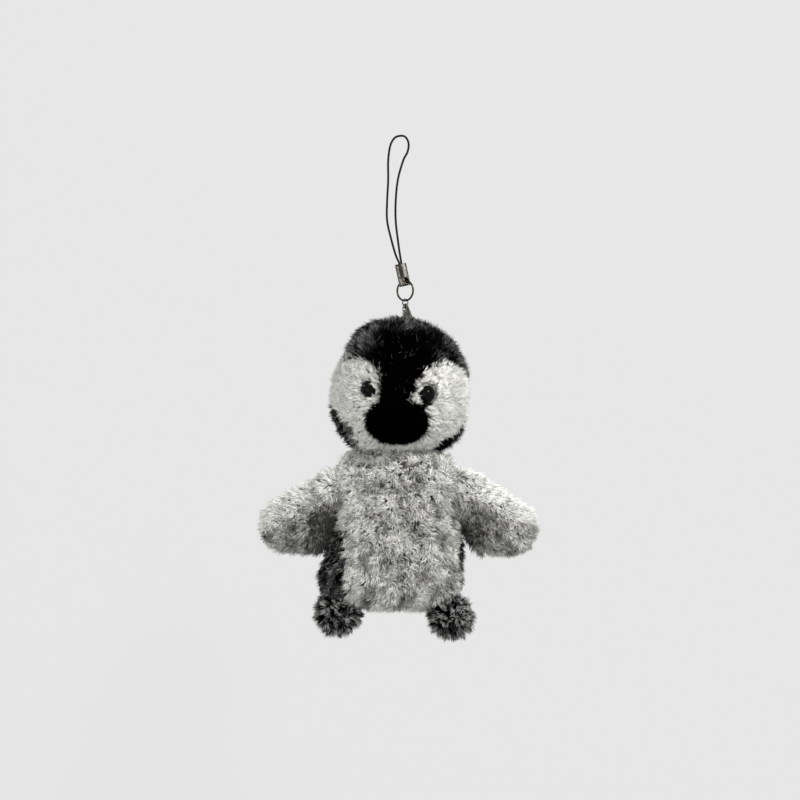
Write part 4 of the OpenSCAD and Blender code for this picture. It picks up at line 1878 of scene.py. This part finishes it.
@dataclass
class Torso:
    """The stuffed body: a pale belly panel and a dark back.

    The belly's edges are given below the chest, and its folds are where painted
    shade marks it as creased from top to bottom. Its own seam runs down the middle.
    Its tone is made paler or darker in the places named here, with painted light on
    the shoulders and painted shade in the creases.
    """

    inset: float = 3.1
    belly_left: float = -23.2
    belly_right: float = 24.6
    belly_middle: float = 1.5
    chest_extra: float = 16.0
    back_middle: float = -2.0
    folds: tuple[float, ...] = (-13.0, 14.0)
    wrap: float = 3.0
    tone: float = 0.53
    left_pale: float = 0.12
    chin_pale: float = 0.09
    # painted light on the shoulders' upper side
    shoulder_pale: float = 0.25
    chest_dark: float = 0.12
    # painted shade in the creases
    crease_dark: float = 0.35
    seam_dark: float = 0.18

    def front(self, p: Array) -> Array:
        """The zone of the whole belly: all of the chest, and less of the sides below."""
        below = smooth(-174.0, -184.0, p[:, 2])
        left = self.belly_left - self.chest_extra * (1 - below)
        right = self.belly_right + self.chest_extra * (1 - below)
        return (p[:, 1] < self.wrap) & (p[:, 0] > left) & (p[:, 0] < right)

    def belly(self, side: Side) -> Zone:
        """The zone of one half of the belly."""
        return lambda p: self.front(p) & ((p[:, 0] - self.belly_middle) * side.value >= 0)

    def back(self, side: Side) -> Zone:
        """The zone of one half of the back."""
        return lambda p: ~self.front(p) & ((p[:, 0] - self.back_middle) * side.value >= 0)

    def build(self) -> None:
        """Makes the body's pad."""
        seam = seam_of([self.front, self.belly(Side.LEFT)], 1.1)
        self.pad = Stuffing(voxel=2.2, swell=1.2).fill(BODY.skin(self.inset), "body_filling", seam)
        stand_for(self.pad, "body_stuffing", "torso")

    def cover(self, bare: Zone) -> None:
        """Sews the panels on.

        Args:
            bare: Says which points are hidden in the head, the flippers or the feet.
        """
        curl = Varied(Swirl(41, 7.0), Swirl(45, 3.0))
        mottle = Varied(Drift(47, 6.5), Drift(49, 2.4))

        def down(p: Array) -> Array:
            """Down the body, curling in locks."""
            off = p[:, 0] - self.belly_middle
            part = np.sign(off) * np.exp(-np.abs(off) / 3.0) * smooth(-180.0, -195.0, p[:, 2])
            neck = smooth(-158.0, -151.0, p[:, 2])
            spread = np.stack([off * 0.02 + 0.8 * part, -neck, 1.6 * neck - 1.0], axis=1)
            return curl.on(spread, p, 0.45, 0.25)

        def frosted(p: Array) -> Array:
            """Frosted grey, paler at the chin and the left, with painted light on the shoulders
            and painted shade in the creases.
            """
            chin = smooth(-160.0, -150.0, p[:, 2])
            chest = spot(p, 6.0, -162.0, 7.0, 14.0)
            # painted shade under the flippers, and along the folds at the bottom
            crease = spot(p, 27.0, -173.0, 5.0, 9.0) + spot(p, -28.0, -178.0, 4.0, 10.0)
            seam = peak(p[:, 0], self.belly_middle, 1.6) * smooth(-184.0, -192.0, p[:, 2])
            for fold in self.folds:
                crease += 0.8 * peak(p[:, 0], fold, 1.7) * smooth(-201.0, -212.0, p[:, 2])
            left = smooth(-8.0, -20.0, p[:, 0])
            # painted light on top of the shoulders
            shoulder = smooth(20.0, 27.0, np.abs(p[:, 0])) * smooth(-164.0, -156.0, p[:, 2])
            level = self.tone + self.left_pale * left + self.chin_pale * chin
            level = level - self.chest_dark * chest - self.crease_dark * crease
            level = level - self.seam_dark * seam + self.shoulder_pale * shoulder
            return mottle.on(level, p, 0.18, 0.17)

        belly = ("frosted_plush", BELLY_PLUSH, BELLY_PILE, frosted)
        back = ("dark_plush", DARK_PLUSH, BACK_PILE, dark_tone)
        panels = (
            ("belly_panel", "belly_left_plush", self.belly(Side.LEFT), belly),
            ("belly_panel", "belly_right_plush", self.belly(Side.RIGHT), belly),
            ("back_panel", "back_left_plush", self.back(Side.LEFT), back),
            ("back_panel", "back_right_plush", self.back(Side.RIGHT), back),
        )
        for seed, (node, name, zone, (slot, finish, pile, tone)) in enumerate(panels):
            panel = Panel(name, PLUSH[finish], pile, zone, down, tone, 200 + seed)
            piece = panel.sew(self.pad, bare)
            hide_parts(node)
            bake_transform(piece)


@dataclass
class Flipper:
    """One flipper: a flattened stuffed lobe with a front and a back panel.

    Args:
        side: The side that it is on.
        root: The middle of its ball at the shoulder.
        tip: The middle of its ball at the tip.
        lift: How far its upper edge is raised between them.
        brighter: How much paler it is than the other one: painted light on the key lamp's side.
        hollow: How dark it is at the armpit, a painted shade.
        inset: How far its pad lies below its pile.
        flat: Its depth over its height.
        root_radius: Radius of the ball at the shoulder.
        tip_radius: Radius of the ball at the tip.
        upper: The upper ball's place out and down from the root, and its radius.
        lower: The lower ball's.
        tone: How pale it is below its upper edge.
        band_pale: How much paler it is along its upper edge, a painted light.
    """

    side: Side
    root: Point
    tip: Point
    lift: float
    # painted light on the key lamp's side
    brighter: float
    # painted shade at the armpit
    hollow: float
    inset: float = 3.1
    flat: float = 0.64
    root_radius: float = 10.0
    tip_radius: float = 12.9
    upper: tuple[float, float, float] = (11.5, 9.4, 10.8)
    lower: tuple[float, float, float] = (9.2, 21.9, 8.2)
    tone: float = 0.30
    # painted light along the upper edge
    band_pale: float = 0.56

    def form(self) -> Lobe:
        """The lobe, mirrored for its side."""
        way, (x, y, z) = self.side.value, self.root
        (out, down, radius), (low_out, low_down, low_radius) = self.upper, self.lower
        balls = (
            (self.root, self.root_radius),
            ((x + way * out, y, z - down + self.lift), radius),
            (self.tip, self.tip_radius),
            ((x + way * low_out, y, z - low_down), low_radius),
        )
        return Lobe(balls, self.flat)

    def build(self) -> None:
        """Makes the flipper's pad."""
        name = f"flipper_{self.side.word}"
        self.pad = Stuffing(voxel=1.7, swell=0.8).fill(
            self.form().skin(self.inset), f"{name}_filling", lambda p: np.abs(p[:, 1]) < 1.0
        )
        stand_for(self.pad, f"{name}_stuffing", name)

    def cover(self, bare: Zone) -> None:
        """Sews the panels on.

        Args:
            bare: Says which points are hidden in the body.
        """
        way, seed = self.side.value, 300 + 10 * self.side.value
        curl = Varied(Swirl(seed + 1, 7.0), Swirl(seed + 5, 3.0))
        mottle = Varied(Drift(seed + 7, 5.0), Drift(seed + 8, 2.3))
        x0, _, z0 = self.root

        def outward(p: Array) -> Array:
            """Towards the tip, falling at the lower edge."""
            return curl.on(np.array((way * 0.7, 0.0, -0.7)), p, 0.4, 0.2)

        def banded(p: Array) -> Array:
            """Painted light along the upper edge and greyer below, painted shade at the armpit."""
            out = (p[:, 0] - x0) * way
            depth = (z0 + 9.0 - 0.50 * out) - p[:, 2]
            # painted light along the upper edge
            band = smooth(15.0, 5.0, depth)
            # painted shade at the armpit
            pit = np.exp(-(((out - 2.0) / 9.0) ** 2 + ((p[:, 2] - z0 + 18.0) / 9.0) ** 2))
            level = self.tone + self.brighter + self.band_pale * band - self.hollow * pit
            return mottle.on(level, p, 0.15, 0.15)

        for face, word in ((-1, "front"), (1, "back")):
            zone = (lambda p: p[:, 1] < 0) if face < 0 else (lambda p: p[:, 1] >= 0)
            name = f"flipper_{self.side.word}_{word}"
            panel = Panel(
                f"{name}_plush", PLUSH[BELLY_PLUSH], FLIPPER_PILE, zone, outward, banded,
                seed + face,
            )
            piece = panel.sew(self.pad, bare)
            stand_for(piece, name, f"flipper_{self.side.word}")


@dataclass
class Foot:
    """One round foot, its pile standing out all round like a pompom."""

    side: Side
    centre: Point
    radius: float = 10.3
    inset: float = 3.6

    def build(self) -> None:
        """Makes the foot's pad."""
        name = f"foot_{self.side.word}"
        form = Lobe(((self.centre, self.radius),))
        self.pad = Stuffing(voxel=1.4, swell=0.4).fill(form.skin(self.inset), f"{name}_filling")
        stand_for(self.pad, f"{name}_stuffing", name)

    def cover(self, bare: Zone) -> None:
        """Sews the cover on.

        Args:
            bare: Says which points are hidden in the body.
        """
        seed = 400 + self.side.value
        swirl = Swirl(seed, 5.0)
        fleck = Drift(seed + 4, 1.8)
        middle = np.array(self.centre)

        def radiating(p: Array) -> Array:
            """Away from the ankle, loosely."""
            return (p - middle) * 0.02 + np.array((0, -0.2, -0.6)) + 0.9 * swirl.at(p)

        name = f"foot_{self.side.word}"
        panel = Panel(
            f"{name}_plush", PLUSH[DARK_PLUSH], FOOT_PILE, everywhere, radiating,
            lambda p: 0.42 + 0.35 * fleck.at(p), seed,
        )
        stand_for(panel.sew(self.pad, bare), f"{name}_cover", name)


# ---- The studio ----


@dataclass
class Studio:
    """The camera, the lamps, the floor and the backdrop.

    The lamps are each a name, a place from the aim and a size in metres, and a
    power in watts.
    """

    aim: Point = (0.0, 0.0, -122.56)
    distance: float = 880.0
    lens: float = 85.0
    sensor: float = 36.0
    grey: float = 0.795
    lamps: tuple[tuple[str, Point, float, float], ...] = (
        ("key", (0.45, -0.75, 0.60), 0.17, 9.5),
        ("fill", (-0.55, -0.8, -0.3), 0.7, 4.5),
        ("back", (0.3, 0.8, 0.5), 0.7, 6.0),
    )
    wall_y: float = 240.0
    wall_half: float = 300.0
    floor_z: float = -420.0
    floor_half: float = 2500.0

    def build(self) -> None:
        """Sets up everything that isn't the toy."""
        scene = bpy.context.scene
        scene.view_settings.view_transform = "Standard"
        data = bpy.data.cameras.new("camera")
        data.lens, data.sensor_width = self.lens, self.sensor
        data.clip_start, data.clip_end = 0.01, 20.0
        camera = bpy.data.objects.new("camera", data)
        camera.location = Vector((self.aim[0], -self.distance, self.aim[2])) * MM
        camera.rotation_euler = (math.pi / 2, 0, 0)
        scene.collection.objects.link(camera)
        scene.camera = camera
        for lamp in self.lamps:
            self._lamp(*lamp)
        self._world()
        wall = self._paper("backdrop_paper", 0.93, 0.035, True)
        self._sheet("backdrop", wall, self.wall_half, 90, (0, self.wall_y, self.aim[2]))
        ground = self._paper("floor_paper", 0.945, 0.045, False)
        self._sheet("floor", ground, self.floor_half, 0, (0, 0, self.floor_z))

    def _lamp(self, name: str, place: Point, size: float, power: float) -> None:
        """A soft square lamp that faces the toy.

        Args:
            name: The lamp's name.
            place: Its place from the aim, in metres.
            size: Its size, in metres.
            power: Its power, in watts.
        """
        data = bpy.data.lights.new(name, "AREA")
        data.shape, data.size, data.energy = "SQUARE", size, power
        lamp = bpy.data.objects.new(name, data)
        lamp.location = Vector(place) + Vector((0, 0, self.aim[2] * MM))
        aim = Vector(self.aim) * MM - lamp.location
        lamp.rotation_euler = aim.to_track_quat("-Z", "Y").to_euler()
        bpy.context.scene.collection.objects.link(lamp)

    def _world(self) -> None:
        """An even pale room."""
        world = bpy.data.worlds.new("room")
        world.use_nodes = True
        shade = world.node_tree.nodes["Background"]
        shade.inputs["Color"].default_value = (1, 1, 1, 1)
        shade.inputs["Strength"].default_value = self.grey
        bpy.context.scene.world = world

    def _paper(self, name: str, glow: float, share: float, backdrop: bool) -> bpy.types.Material:
        """Pale paper that keeps soft shadows and is evenly bright to the camera.

        A backdrop is clear when it is seen from behind.

        Args:
            name: The material's name.
            glow: How much of its brightness is even, as a share of the room's.
            share: How much of the lamps' light it gives back.
            backdrop: Whether it hides only what is behind it, and stops no lamp.

        Returns:
            The material.
        """
        g = Graph(name)
        kinds = ("Camera", "Glossy", "Transmission")
        rays = [g.node("ShaderNodeLightPath", output=f"Is {kind} Ray") for kind in kinds]
        seen = rays[0] + rays[1] + rays[2]
        grain = g.noise(160, 5)
        dark, pale = 0.99, 1.01
        g.set(
            Base_Color=g.mix(grain, (share,) * 3, (share * dark,) * 3),
            Roughness=0.9,
            Specular_IOR_Level=0.1,
            Emission_Color=g.mix(grain, (self.grey,) * 3, (self.grey * pale,) * 3),
            Emission_Strength=seen * glow if backdrop else glow,
        )
        if backdrop:
            behind = g.node("ShaderNodeNewGeometry", output="Backfacing")
            clear = g.node("ShaderNodeBsdfTransparent")
            paper = Sock(g, g.shader.outputs[0])
            both = g.node(
                "ShaderNodeMixShader", {}, {0: seen * (1.0 - behind), 1: clear, 2: paper}
            )
            g.feed(g.tree.nodes["Material Output"].inputs["Surface"], both)
        return g.material

    def _sheet(
        self, name: str, paper: bpy.types.Material, half: float, tilt: float, place: Point
    ) -> None:
        """A square sheet of paper, well clear of all that the toy can reach.

        Args:
            name: The sheet's name.
            paper: Its material.
            half: Half its size.
            tilt: Degrees that it is tilted by, from level.
            place: Its middle.
        """
        bm = bmesh.new()
        bmesh.ops.create_grid(bm, x_segments=2, y_segments=2, size=half)
        place_at(bm, turned(tilt, "X"), place)
        to_piece(bm, name, paper)


# ---- The whole scene ----

STUFFING_MATERIAL = STUFFING.material()
NICKEL_MATERIAL = NICKEL.material()
WIRE_MATERIAL = WIRE.material()
EYE_MATERIAL = EYE_GLOSS.material()
PLUSH = {
    finish: finish.material()
    for finish in (CHEEK_PLUSH, CROWN_PLUSH, BELLY_PLUSH, DARK_PLUSH, BEAK_PLUSH)
}


def main() -> None:
    """Builds the dressed model and its studio."""
    logging.basicConfig(level=logging.INFO, format="%(name)s: %(message)s")
    for part in (Studio(), Cord(), Crimp(), Rings(), Tab()):
        part.build()
    torso, head = Torso(), Head()
    limbs = (
        Flipper(
            Side.LEFT, root=(-30.0, 0.0, -164.5), tip=(-52.3, 0.0, -180.6), lift=-0.8,
            brighter=0.0, hollow=0.85,
        ),
        Flipper(
            Side.RIGHT, root=(29.5, 0.0, -164.5), tip=(51.1, 0.0, -181.8), lift=0.6,
            brighter=0.10, hollow=0.5,
        ),
        Foot(Side.LEFT, centre=(-28.8, -5.0, -220.9)),
        Foot(Side.RIGHT, centre=(23.6, -5.0, -222.5)),
    )
    for part in (torso, head, *limbs):
        part.build()
    in_torso = Within(torso.pad, 0.3)
    in_head = Within(head.pad, 0.3)
    in_limbs = [Within(limb.pad, 0.2) for limb in limbs]

    def hidden(points: Array) -> Array:
        """Body points that the head or a limb covers."""
        found = in_head(points)
        for test in in_limbs:
            found |= test(points)
        return found

    head.cover(in_torso)
    torso.cover(hidden)
    for limb in limbs:
        limb.cover(in_torso)
    washer = WASHER_PLASTIC.material()
    for side in Side:
        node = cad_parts[f"eye_washer_{side.word}"]
        node.data.materials.clear()
        node.data.materials.append(washer)


if __name__ == "__main__":
    main()
